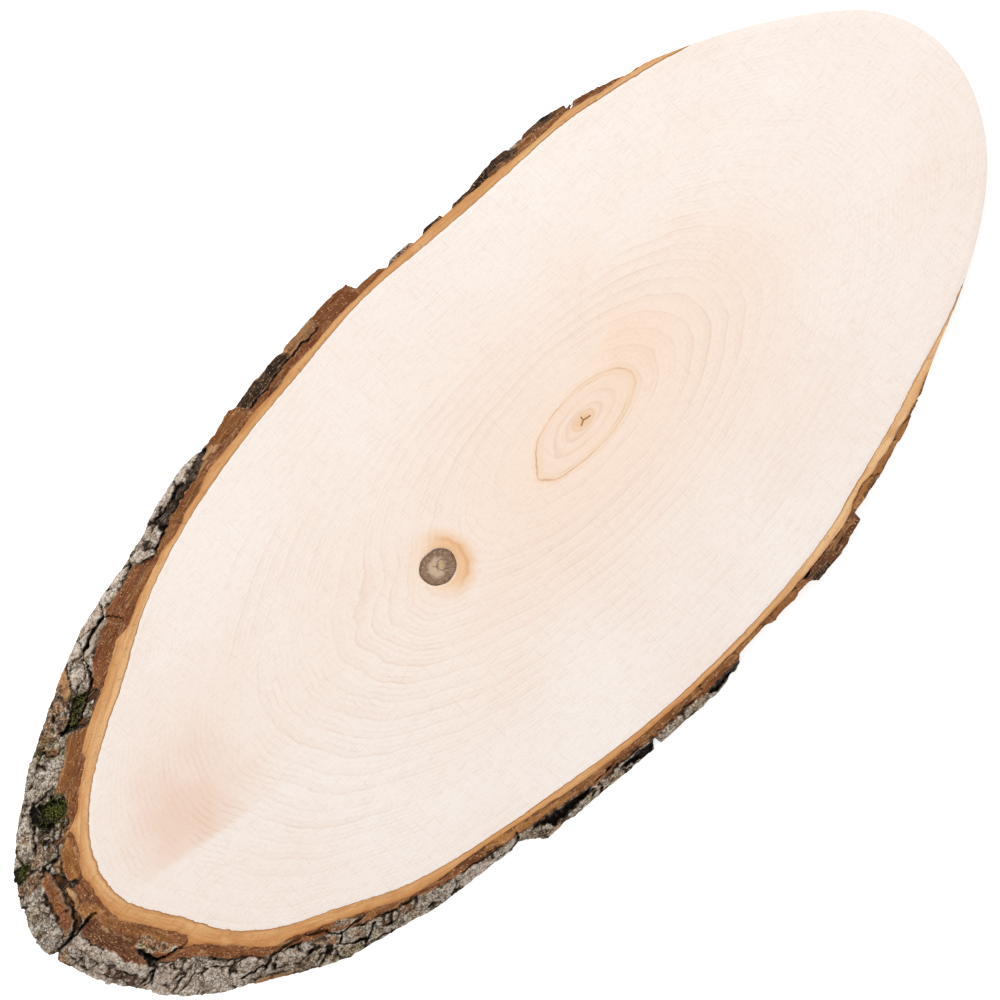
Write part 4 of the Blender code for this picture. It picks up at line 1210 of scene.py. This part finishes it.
def crumbs(x, y, size, seed):
    """Broken cells round scattered points, size mm apart: half the difference of the distances to the
    nearest two points, which is 0 on a border, then each cell's own number and its own lean."""
    scattered = np.random.default_rng(seed).random((64, 64, 5))
    column, row = np.floor(x / size).astype(int), np.floor(y / size).astype(int)
    nearest, second = np.full(x.shape, 1e9), np.full(x.shape, 1e9)
    number, lean = np.zeros(x.shape), np.zeros(x.shape)
    for right, up in itertools.product((-1, 0, 1), repeat=2):
        own = scattered[(column + right) & 63, (row + up) & 63]
        away_x = x - (column + right + own[..., 0]) * size
        away_y = y - (row + up + own[..., 1]) * size
        away = np.hypot(away_x, away_y)
        closer = away < nearest
        second = np.where(closer, nearest, np.minimum(second, away))
        nearest = np.where(closer, away, nearest)
        number = np.where(closer, own[..., 2], number)
        lean = np.where(closer, away_x * (own[..., 3] - 0.5) + away_y * (own[..., 4] - 0.5), lean)
    return (second - nearest) / 2, number, lean


edge_noise = (
    0.16 * noise(degrees * 1.54, out * 2, 0.0, 1.6)
    + 0.12 * noise(degrees * 1.54, out * 2, 0.0, 0.6, 1.0)
)
lump_gap, lump_number, lump_lean = crumbs(map_x * 0.7, map_y, 6.4, 31)
crumb_gap, crumb_number, crumb_lean = crumbs(map_x * 0.8, map_y, 1.9, 32)
crumb_lean *= 0.8
gate = map_noise(3.6, 15.0) + 0.4 * map_noise(1.3, 16.0)
lump_crack = np.exp(-((lump_gap / (0.1 + 0.42 * ease(-0.2, 0.8, gate))) ** 2)) * ease(0.05, 0.4, gate)
crumb_crack = np.exp(-((crumb_gap / 0.14) ** 2)) * ease(0.1, -0.35, gate)
cut_edge = straight_heights(CUT_EDGE, degrees) + edge_noise
silhouette = straight_heights(SILHOUETTE, degrees) + 0.7 * edge_noise
silhouette += 0.6 * (lump_number - 0.6) + 0.2 * (crumb_number - 0.5)
slope = np.clip((out - cut_edge) / np.maximum(silhouette - cut_edge, 0.25), 0, 1)
sawn = 1 - ease(0.0, 0.04, slope)
outside = 1 - sawn
ground = BARK_TOP - (BARK_TOP - 0.3) * slope**0.9
# Old bark peels in flakes: soft noise cut into steps gives their curved edges
flakes = 1.6 * map_noise(6.5, 6.0) + 0.9 * map_noise(2.8, 7.0)
flakes += 0.35 * map_noise(1.2, 12.0)
flake_step = np.floor(flakes) + ease(0.0, 0.22, flakes - np.floor(flakes))
rough = 0.26 * flake_step + 0.2 * map_noise(2.0, 7.0) + 0.16 * map_noise(0.9, 8.0)
uneven = 0.35 + 0.65 * ease(-0.4, 0.4, map_noise(8.0, 19.0))
rough += (
    uneven
    * (0.7 * (lump_number - 0.5) + 0.22 * lump_lean + 0.2 * (crumb_number - 0.5) + 0.2 * crumb_lean)
)
rough += 0.1 * map_noise(0.45, 18.0)
relief = rough - 1.7 * lump_crack - 0.15 * crumb_crack * uneven
height = ground + outside * relief
paint = blend(np.broadcast_to(linear(BARK["cut"]), (*out.shape, 3)), linear(BARK["dim"]), outside)


MARGIN = 1.5  # round an outline, as far as it can change the map


def window_of(corners, margin):
    """The part of the map round some (degrees, mm) corners, as two slices."""
    at, far = np.array(corners, float).T
    first = int((at.min() - margin) * CELLS)
    last = int((at.max() + margin) * CELLS)
    low = int((far.min() - margin - MAP_OUT[0]) * CELLS)
    high = int((far.max() + margin - MAP_OUT[0]) * CELLS)
    return slice(max(first, 0), last), slice(max(low, 0), high)


def in_plan(corners):
    """Corners in (degrees, mm) as plan points on the map."""
    at, far = np.radians(np.array(corners, float).T[0]), np.array(corners, float).T[1]
    return np.c_[(RADIUS + far) * np.cos(at) / COS, (RADIUS + far) * np.sin(at)]


def line_distance(x, y, corners, closed):
    """Distance in mm to a line through the corners, and whether each point is inside it when closed."""
    nearest = np.full(x.shape, 1e9)
    inside = np.zeros(x.shape, bool)
    ends = np.roll(corners, -1, axis=0) if closed else corners[1:]
    for (ax, ay), (bx, by) in zip(corners, ends):
        along = ((x - ax) * (bx - ax) + (y - ay) * (by - ay)) / ((bx - ax) ** 2 + (by - ay) ** 2)
        along = np.clip(along, 0, 1)
        nearest = np.minimum(nearest, np.hypot(x - ax - along * (bx - ax), y - ay - along * (by - ay)))
        if ay != by:
            inside ^= ((ay > y) != (by > y)) & (x < (bx - ax) * (y - ay) / (by - ay) + ax)
    return nearest, inside


def lay_plate(kind, amount, colour, corners):
    """Draw one plate, tile or hollow into the map."""
    at = window_of(corners, MARGIN)
    nearest, inside = line_distance(map_x[at], map_y[at], in_plan(corners), True)
    deep = np.where(inside, nearest, -nearest)
    share = ease(-0.2, 0.15, deep)
    if kind == "cut":
        target = BARK_TOP - amount + min(amount, 0.12) * rough[at]
    elif kind in ("wall", "torn"):
        dome = 0.3 + 0.7 * ease(0.0, 2.6, deep)
        target = np.minimum(ground[at] + amount * dome + relief[at], BARK_TOP + 1)
    else:
        target = ground[at] - amount * ease(-0.2, 1.4, deep) + 0.8 * relief[at]
    height[at] += (target - height[at]) * share
    sawn[at] += (SAWN_SHARE[kind] - sawn[at]) * share
    paint[at] = blend(paint[at], linear(BARK[colour]), share)
    dull[at] += ((colour in ("black", "dark", "moss")) - dull[at]) * share
    if kind == "pit":
        return
    # The groove along the outline is painted shade: dark brown on sawn tiles, black on the outside.
    broken = ease(-0.75, 0.25, gate[at])
    groove = np.exp(-(((deep + 0.15) / (0.12 + 0.42 * broken)) ** 2)) * broken
    if kind == "cut":
        height[at] -= 0.2 * groove * (amount > 0.06)
        rim_line = np.exp(-(((deep - 0.25) / 0.2) ** 2)) * (1 - 0.6 * broken)
        paint[at] = blend(paint[at], linear("#d8ab81"), 0.75 * rim_line)
        paint[at] = blend(paint[at], linear(BARK["dark"]), 0.5 * groove * min(1, 0.3 + 2 * amount))
    else:
        height[at] -= 1.6 * groove
        paint[at] = blend(paint[at], linear(BARK["black"]), 0.85 * groove)
    if kind == "torn":
        paint[at] = blend(paint[at], linear("#d3ad88"), 0.8 * np.exp(-(((deep - 0.3) / 0.22) ** 2)))


def lay_crack(corners, width, depth):
    """Cut one crack into the map: half its width wide at the ends, its bottom painted black as painted shade.
    """
    at = window_of(corners, MARGIN)
    nearest, _ = line_distance(map_x[at], map_y[at], in_plan(corners), False)
    share = ease(width * 0.75, width * 0.2,
        nearest / (0.6 + 0.7 * ease(-0.6, 0.6, gate[at])) + 0.1 * rough[at])
    height[at] -= depth * share
    # painted shade: the crack's bottom is painted black
    paint[at] = blend(paint[at], linear(BARK["black"]), share)


SAWN_SHARE = {"cut": 1.0, "torn": 0.75, "wall": 0.0, "pit": 0.0}
dull = np.zeros(out.shape)  # 1 in hollows that stay dark, without pale mottles
for plate in PLATES:
    lay_plate(*plate)
for crack in CRACKS:
    lay_crack(*crack)

# Wherever bark was cut it is flat at the top; nothing rises above the saw's plane
height = np.minimum(height, BARK_TOP - 0.06 * ease(0.0, 1.0, rough) * sawn)
height = np.maximum(height, 0.4 + 0.18 * np.clip(rough, -1, 2))
height = np.where(out < inner_bark_height(degrees) - 0.4, BARK_TOP, height)


def box_mean(layer, reach):
    """Mean over a square of cells reaching that many to each side, from running sums both ways."""
    for axis, mode in ((0, "wrap"), (1, "edge")):
        pads = [(0, 0), (0, 0)]
        pads[axis] = (reach + 1, reach)
        run = np.cumsum(np.pad(layer, pads, mode=mode), axis=axis)
        layer = np.take(run, np.arange(2 * reach + 1, run.shape[axis]), axis) - np.take(
            run, np.arange(run.shape[axis] - 2 * reach - 1), axis
        )
        layer = layer / (2 * reach + 1)
    return layer


# Painted shade where the surface lies under what is round it, painted highlight on edges that stand out
painted_shade_depth = np.clip(box_mean(height, 4) - height, 0, 2) + 0.7 * np.clip(box_mean(height, 10) - height, 0, 3)
painted_highlight_rise = np.clip(height - box_mean(height, 5), 0, 1)

# Lichen, weathering and cork specks on the grey outside, and painted shade in the cracks between lumps
mottle = map_noise(2.6, 9.0) + 0.7 * map_noise(1.1, 10.0)
mottle += 0.6 * map_noise(0.5, 11.0)
grey_side = (1 - sawn) * (1 - 0.85 * dull)
calm = 1 - 0.6 * np.clip(straight_heights(PALENESS, degrees) - 1, 0, 1)  # bleached plates are evener
paint = paint * (1 + (straight_heights(PALENESS, degrees) - 1) * grey_side)[..., None]
paint = paint * (1 + (0.5 * (lump_number - 0.45) + 0.25 * (crumb_number - 0.5)) * grey_side)[..., None]
paint = paint_over(
    paint,
    ("#e3dacd", 0.6 * ease(0.2, 1.2, mottle) * grey_side),
    ("#59483b", 0.65 * ease(-0.3, -1.4, mottle) * grey_side * calm),
    ("#8f6446", 0.6 * ease(0.2, 0.75, map_noise(4.5, 14.0)) * grey_side * calm),
    # painted shade: the cracks between lumps and crumbs are painted near black
    ("#241b15", np.maximum(0.92 * lump_crack, 0.3 * crumb_crack) * grey_side),
)
for at, far, size, colour in LICHEN:
    middle = in_plan([(at, far)])[0]
    near = np.hypot(map_x - middle[0], map_y - middle[1]) / size + 0.35 * mottle
    paint = blend(paint, linear(colour), 0.8 * ease(1.0, 0.6, near) * grey_side)
paint = paint_over(
    paint,
    ("#c48f5c", 0.4 * ease(0.3, 1.1, mottle) * sawn * ease(6.0, 3.0, out)),
    # painted highlight: edges that stand out are painted paler
    ("#e2d8cb", 0.4 * ease(0.12, 0.6, painted_highlight_rise) * grey_side),
    # painted shade: hollows are painted darker the deeper they lie
    ("#1a1410", 0.9 * (1 - np.exp(-0.9 * painted_shade_depth)) * (0.35 + 0.65 * (1 - sawn))),
)
height = np.where(out > silhouette, -3.0, height)
print("map", height.shape, "cells")

# %% [markdown]
# ## From the map to a solid
#
# The bark's body is what lies under the map's heights, outside the inner bark, above the table, inside the
# trunk's own reach and inside the trim line. Each of these is a number that is positive on the body's side,
# and the smallest of them says how deep a point is inside. Worked out on a grid that follows the trunk, the
# place where it passes zero is the bark's surface. One point goes in each grid cell that the surface
# crosses, at the mean of its crossings, and one quad joins the four cells round each crossed edge. This
# keeps overhangs, deep cracks and loose edges.


# %% The bark's body
def from_map(layer, degrees_at, out_at):
    """Values of the map at view angles and heights, with straight steps between its cells."""
    column = (degrees_at % 360) * CELLS
    row = np.clip((out_at - MAP_OUT[0]) * CELLS, 0, len(MAP_OUT) - 1.001)
    left, low = np.floor(column).astype(np.int32), np.floor(row).astype(np.int32)
    s, t = (column - left).astype(np.float32), (row - low).astype(np.float32)
    if layer.ndim == 3:
        s, t = s[..., None], t[..., None]
    left, right = left % len(MAP_DEGREES), (left + 1) % len(MAP_DEGREES)
    near = layer[left, low] * (1 - s) + layer[right, low] * s
    return near * (1 - t) + (layer[left, low + 1] * (1 - s) + layer[right, low + 1] * s) * t


# Mm along the rim: at the -X end, the sides, the trimmed end
WALL_STEP, SIDE_STEP, BARE_STEP = 0.37, 0.6, 1.2
OUT_STEP, LEVEL_STEP = 0.27, 0.19
bark_degrees = np.concatenate(
    [
        even_columns(wood_height, 47, 96, SIDE_STEP)[:-1],
        even_columns(wood_height, 96, 264, WALL_STEP)[:-1],
        even_columns(wood_height, 264, 313, SIDE_STEP)[:-1],
        even_columns(wood_height, 313, 407, BARE_STEP)[:-1],
    ]
)
bark_out = np.arange(-4.0, 12.6, OUT_STEP)
bark_level = np.concatenate([[-0.1], np.arange(0.1, THICK - 0.2, LEVEL_STEP), [THICK - 0.15, THICK + 0.1]])
grid = np.meshgrid(bark_degrees, bark_out, bark_level, indexing="ij")
grid_degrees, grid_out, grid_level = (values.astype(np.float32) for values in grid)


def seen_from_above(degrees_at, out_at, level):
    """The angle and height at which a point of the trunk is seen on the face: X shifted back by depth *
    sin(tilt)."""
    turn = np.radians(degrees_at)
    x = (RADIUS + out_at) * np.cos(turn) - (THICK - level) * SIN
    y = (RADIUS + out_at) * np.sin(turn)
    return np.degrees(np.arctan2(y, x)), np.hypot(x, y) - RADIUS


seen_degrees, seen_out = seen_from_above(grid_degrees, grid_out, grid_level)
body = from_map(height.astype(np.float32), seen_degrees, seen_out) - grid_level
body = np.minimum(body, grid_out - (inner_bark_height(grid_degrees) - 0.3))
body = np.minimum(body, trimmed_height(seen_degrees) - 0.03 - seen_out)

# The trunk's own outside, which the saw leaves under the face on the +X side
wall_degrees, wall_level = np.meshgrid(bark_degrees, bark_level, indexing="ij")
wall_arc = np.radians(wall_degrees) * RADIUS
wall_along = -(RADIUS * np.cos(np.radians(wall_degrees))) * TAN + (THICK - wall_level) / COS
over_wall = seen_from_above(wall_degrees, 8.0, wall_level)[0] % 360
reach = np.maximum(straight_heights(SILHOUETTE, wall_degrees), straight_heights(SILHOUETTE, over_wall)) + 0.3
under_end = ease(0.5, 0.75, np.cos(np.radians(wall_degrees)))
reach += (8.5 - reach) * under_end * ease(52, 45, np.abs((wall_degrees + 180) % 360 - 180))
lumps = noise(wall_arc, wall_along * 0.45, 0.0, 5.0) + 0.7 * noise(wall_arc, wall_along * 0.45, 0.0, 2.2, 1.0)
furrow = np.exp(-((noise(wall_arc, wall_along * 0.4, 0.0, 7.0, 2.0) / 0.09) ** 2))
undercut = ease(-0.2, 0.05, np.cos(np.radians(wall_degrees)))  # 0 where the map alone shapes the outside
reach += undercut * (0.45 * lumps + 0.2 * noise(wall_arc, wall_along, 0.0, 0.9, 3.0) - 1.6 * furrow)
reach += 2 * (1 - undercut)
body = np.minimum(body, reach[:, None, :].astype(np.float32) - grid_out)
body = np.minimum(body, grid_level)


def attached(inside, start):
    """The part of a body that hangs together with start, found by growing start inside the body until it
    stops."""
    found = start & inside
    while True:
        grown = found.copy()
        grown |= np.roll(found, 1, 0) | np.roll(found, -1, 0)
        grown[:, 1:] |= found[:, :-1]
        grown[:, :-1] |= found[:, 1:]
        grown[:, :, 1:] |= found[:, :, :-1]
        grown[:, :, :-1] |= found[:, :, 1:]
        grown &= inside
        if grown.sum() == found.sum():
            return found
        found = grown


rooted = attached(body > 0, grid_out < inner_bark_height(grid_degrees) + 0.4)
body = np.where((body > 0) & ~rooted, -0.05, body)
print("grid", body.shape, "body cells", int(rooted.sum()))

# %% The bark's surface
CORNERS = np.array(list(itertools.product((0, 1), repeat=3)))
EDGES = [(a, b) for a, b in itertools.combinations(range(8), 2) if np.abs(CORNERS[a] - CORNERS[b]).sum() == 1]


def surface(field):
    """Points in grid units and quads of the surface where a field, closed round its first axis, passes
    zero."""
    count, rows, levels = field.shape
    inside = field > 0
    wrapped = np.concatenate([inside, inside[:1]])
    parts = [wrapped[a : a + count, b : b + rows - 1, c : c + levels - 1] for a, b, c in CORNERS]
    mixed = np.logical_or.reduce(parts) & ~np.logical_and.reduce(parts)
    cell = np.argwhere(mixed)
    column, row, level = cell.T
    value = np.stack([field[(column + a) % count, row + b, level + c] for a, b, c in CORNERS], axis=1)
    total, crossings = np.zeros((len(cell), 3)), np.zeros(len(cell))
    for a, b in EDGES:
        crossed = (value[:, a] > 0) != (value[:, b] > 0)
        s = np.where(crossed, value[:, a] / np.where(crossed, value[:, a] - value[:, b], 1), 0)
        total += crossed[:, None] * (CORNERS[a] + s[:, None] * (CORNERS[b] - CORNERS[a]))
        crossings += crossed
    points = cell + total / crossings[:, None]
    number = np.full((count, rows - 1, levels - 1), -1, np.int64)
    number[tuple(cell.T)] = np.arange(len(cell))
    quads = []
    for axis, (one, two) in enumerate(((1, 2), (2, 0), (0, 1))):
        ahead = np.roll(inside, -1, axis)
        changes = inside != ahead
        if axis > 0:
            changes[(slice(None),) * axis + (-1,)] = False
        node = np.argwhere(changes)
        ring = []
        for back_one, back_two in ((1, 1), (0, 1), (0, 0), (1, 0)):
            at = node.copy()
            at[:, one] -= back_one
            at[:, two] -= back_two
            ring.append(number[at[:, 0] % count, at[:, 1], at[:, 2]])
        quad = np.stack(ring, axis=1)
        outward = inside[tuple(node.T)]
        quads.append(np.where(outward[:, None], quad, quad[:, ::-1]))
    return points, np.concatenate(quads)


points, quads = surface(body)
column = np.concatenate([bark_degrees, [bark_degrees[0] + 360]])
skin_degrees = np.interp(points[:, 0], np.arange(len(column)), column)
skin_out = np.interp(points[:, 1], np.arange(len(bark_out)), bark_out)
skin_level = np.clip(np.interp(points[:, 2], np.arange(len(bark_level)), bark_level), 0, BARK_TOP)
skin_turn = np.radians(skin_degrees)
skin_sx = (RADIUS + skin_out) * np.cos(skin_turn)
skin_sy = (RADIUS + skin_out) * np.sin(skin_turn)
skin_x, skin_y = plan_from_section(skin_sx, skin_sy, THICK - skin_level)
skin_x = np.maximum(skin_x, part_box("outer_bark")[0][0] * 1000 + 0.02)  # the solid's own far end
print("bark surface:", len(points), "points,", len(quads), "quads")

# %% [markdown]
# The colours come from the map where the map's own surface is what shows. Inside cracks and under the slice
# the map says nothing, so there the depth in the bark gives the colour: sawn brown near the inner bark,
# dark grey outside.

# %% Colours of the bark's surface
seen_degrees, seen_out = seen_from_above(skin_degrees, skin_out, skin_level)
top_here = from_map(height, seen_degrees, seen_out)
hidden = ease(0.5, 1.6, top_here - skin_level)
skin_paint = from_map(paint, seen_degrees, seen_out)
skin_sawn = from_map(sawn, seen_degrees, seen_out)
edge_here = np.interp(skin_degrees, bark_degrees, reach.mean(axis=1))
outer_share = ease(1.2, 0.3, edge_here - skin_out)
below = blend(np.broadcast_to(linear(BARK["cut_dark"]), skin_paint.shape), linear(BARK["dim"]), outer_share)
skin_paint = blend(skin_paint, below, hidden)
skin_sawn = skin_sawn * (1 - hidden) + (1 - outer_share) * hidden
skin_paint = np.clip(skin_paint, 0, 1)

# %% Outer bark material
bark_material, tree, shader = new_material("outer_bark_cork", 0.88, 0.15)
place = add_node(tree, "TexCoord").outputs["Object"]
tint = from_mesh(tree, "tint", "Color")
around = from_mesh(tree, "around")
across = from_mesh(tree, "across")
along = from_mesh(tree, "along")
is_sawn = from_mesh(tree, "sawn")

layers = layer_cloud(5.0, 0.22, 3.0)
zones = math("MULTIPLY", layer_cloud(8.0, 1.5, 1.5), 11.0)
zone_part = math("FRACT", zones)
zone_own = add_node(tree, "TexWhiteNoise", {"W": math("FLOOR", zones)},
    noise_dimensions="1D").outputs["Value"]
zone_line = math("MAXIMUM", ramp(zone_part, 0.09, 0.0), ramp(zone_part, 0.91, 1.0))
flecks = cloud(1500.0, detail=2.0)
colour = mix(ramp(zone_own, 0.2, 0.8, 0.0, 0.55), tint, mix(1.0, tint, rgba("#a58a7c"), "MULTIPLY"))
colour = mix(ramp(layers, 0.35, 0.65, 0.0, 0.5), colour, mix(1.0, colour, rgba("#a89c94"), "MULTIPLY"))
colour = glaze(
    colour,
    (product(zone_line, ramp(cloud(160.0), 0.38, 0.5), 0.6), "#d8a679"),
    (ramp(flecks, 0.64, 0.7, 0.0, 0.75), "#dcb083"),
    (ramp(flecks, 0.38, 0.28, 0.0, 0.7), "#341e13"),
)
sawn_colour = colour

# The grey outside: pale weathered cork over dark brown, broken by hairline cracks
drift = add_node(tree, "TexNoise", {"Vector": place, "Scale": 420.0, "Detail": 3.0}).outputs["Color"]
drift = vector("MULTIPLY", {0: drift, 1: (0.0025, 0.0025, 0.0025)}).outputs[0]
drift = vector("ADD", {0: place, 1: drift}).outputs[0]
split = add_node(tree, "TexVoronoi", {"Vector": drift, "Scale": 330.0},
    feature="DISTANCE_TO_EDGE").outputs["Distance"]
hairline = product(ramp(split, 0.07, 0.01), ramp(cloud(170.0), 0.5, 0.6))
grain = layer_cloud(0.7, 1.6, 4.0, around, along)
specks = cloud(1350.0, detail=4.0, rough=0.7)
dust = cloud(3600.0, detail=2.0)
pits = cloud(900.0, detail=3.0, rough=0.6)
dark_tint = mix(1.0, tint, rgba("#b7a595"), "MULTIPLY")
pale_tint = mix(1.0, mix(1.0, tint, (2.7, 2.6, 2.4, 1.0), "MULTIPLY"), rgba("#f0e8dd"), "DARKEN")
colour = mix(ramp(specks, 0.4, 0.62), dark_tint, pale_tint)
colour = mix(ramp(dust, 0.38, 0.6, 0.45, 0.0), colour, dark_tint)
colour = mix(ramp(grain, 0.32, 0.55, 0.25, 0.0), colour, dark_tint)
colour = mix(ramp(pits, 0.4, 0.33, 0.0, 0.8), colour, rgba("#2b2019"))
shade = ramp(cloud(430.0, detail=4.0, rough=0.6), 0.53, 0.37, 0.0, 0.75)
bleached = ramp(cloud(520.0, (0.8, 1.2, 1.0), 4.0, rough=0.65), 0.52, 0.66, 0.0, 0.6)
colour = mix(shade, colour, mix(1.0, dark_tint, rgba("#a08c7c"), "MULTIPLY"))
colour = mix(bleached, colour, pale_tint)
colour = mix(product(hairline, 0.6), colour, rgba("#1b1511"))
colour = mix(is_sawn, colour, sawn_colour)
outside_bump = math("ADD", specks, math("ADD", product(grain, 0.3), product(hairline, -0.8)))
sawn_bump = math("ADD", product(layers, 0.35), product(flecks, 0.35))
relief_height = mix(is_sawn, outside_bump, sawn_bump)
dress(colour, relief_height, 0.75, 0.0008)

# %% Outer bark in seven pieces, split where the bark itself is broken
PIECES = [
    ("bark_upper_side", 47.0, 105.0),
    ("bark_upper_middle", 105.0, 144.4),
    ("bark_upper_end", 144.4, 177.4),
    ("bark_lower_end", 177.4, 212.2),
    ("bark_lower_middle", 212.2, 259.7),
    ("bark_lower_side", 259.7, 313.0),
    ("bark_under_trim", 313.0, 407.0),
]
quad_degrees = skin_degrees[quads[:, 0]]
for name, first, last in PIECES:
    own = quads[(quad_degrees >= first) & (quad_degrees < last)]
    used, corner = np.unique(own, return_inverse=True)
    piece = add_mesh(
        name,
        np.c_[skin_x, skin_y, skin_level][used],
        corner.reshape(-1, 4),
        bark_material,
        skin_paint[used],
        around=(skin_turn * RADIUS)[used],
        across=skin_out[used],
        along=(-skin_sx * TAN + (THICK - skin_level) / COS)[used],
        sawn=skin_sawn[used],
    )
    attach(piece, "root")
    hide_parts("outer_bark")

# %% [markdown]
# ## Moss
#
# Small cushions of moss sit in the damp hollows at the -X end. A cushion is many short leafy shoots, dark
# below and yellow-green at the tips. Each shoot here is a bent three-sided spike, set on the map's surface
# at a random place.

# %% Moss
# Degrees, mm, spread round and outwards in mm, shoots
MOSS = [
    (154.3, 8.2, 2.5, 1.6, 330), (156.6, 6.5, 1.7, 0.8, 130), (161.4, 15.0, 1.5, 1.1, 130),
    (141.6, 6.9, 2.2, 0.9, 190), (139.6, 7.6, 1.4, 0.9, 60), (145.2, 11.0, 1.2, 0.8, 40),
    (224.5, 11.6, 2.2, 0.7, 70), (143.8, 13.0, 1.0, 0.7, 36),
]
random = np.random.default_rng(11)
foot_degrees, foot_out = [], []
for at, far, spread_round, spread_out, count in MOSS:
    foot_degrees.append(at + random.normal(0, np.degrees(spread_round / RADIUS), count))
    foot_out.append(far + random.normal(0, spread_out, count))
foot_degrees, foot_out = np.concatenate(foot_degrees), np.concatenate(foot_out)
keep = foot_out < straight_heights(SILHOUETTE, foot_degrees) - 1.0
keep &= foot_out > straight_heights(CUT_EDGE, foot_degrees) - 0.3
foot_degrees, foot_out = foot_degrees[keep], foot_out[keep]
count = len(foot_degrees)
foot_turn = np.radians(foot_degrees)
foot_x, foot_y = plan_from_section((RADIUS + foot_out) * np.cos(foot_turn),
    (RADIUS + foot_out) * np.sin(foot_turn), 0.0)
foot_z = from_map(height, foot_degrees, foot_out) - 0.25
long = random.uniform(0.6, 1.5, count)
lean = random.normal(0, 0.45, (count, 2)) * long[:, None]
foot = np.c_[foot_x, foot_y, foot_z]
middle = foot + np.c_[lean * 0.3, long * 0.65]
tip = foot + np.c_[lean, long * 0.95]
thick = random.uniform(0.11, 0.2, count)
side = np.radians([0, 120, 240])[None] + random.uniform(0, 2, count)[:, None]
round_it = np.stack([np.cos(side), np.sin(side), np.zeros(side.shape)], axis=-1) * thick[:, None, None]
shoots = np.concatenate([foot[:, None] + round_it, middle[:, None] + round_it * 0.9, tip[:, None]], axis=1)
shoots[..., 2] = np.minimum(shoots[..., 2], THICK - 0.1)
FACES = [(0, 2, 1), (3, 4, 6), (4, 5, 6), (5, 3, 6)]
for here, after in ((0, 1), (1, 2), (2, 0)):
    FACES += [(here, after, after + 3), (here, after + 3, here + 3)]
shoot_faces = (np.array(FACES)[None] + 7 * np.arange(count)[:, None, None]).reshape(-1, 3)
bright = random.uniform(0, 1, count) ** 1.2
tip_colour = blend(np.broadcast_to(linear("#55652a"), (count, 3)), linear("#cbcb66"), bright)
middle_colour = blend(np.broadcast_to(linear("#2b3614"), (count, 3)), linear("#8b8f3a"), bright)
foot_colour = np.broadcast_to(linear("#12160a"), (count, 3))
shoot_colour = np.stack([foot_colour] * 3 + [middle_colour] * 3 + [tip_colour], axis=1)
moss_material, tree, shader = new_material("moss_shoots", 0.8, 0.2)
tint = from_mesh(tree, "tint", "Color")
dress(tint)
moss = add_mesh("moss_cushions", shoots.reshape(-1, 3), shoot_faces, moss_material,
    shoot_colour.reshape(-1, 3))
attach(moss, "root")
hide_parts("outer_bark")
print(count, "shoots of moss")
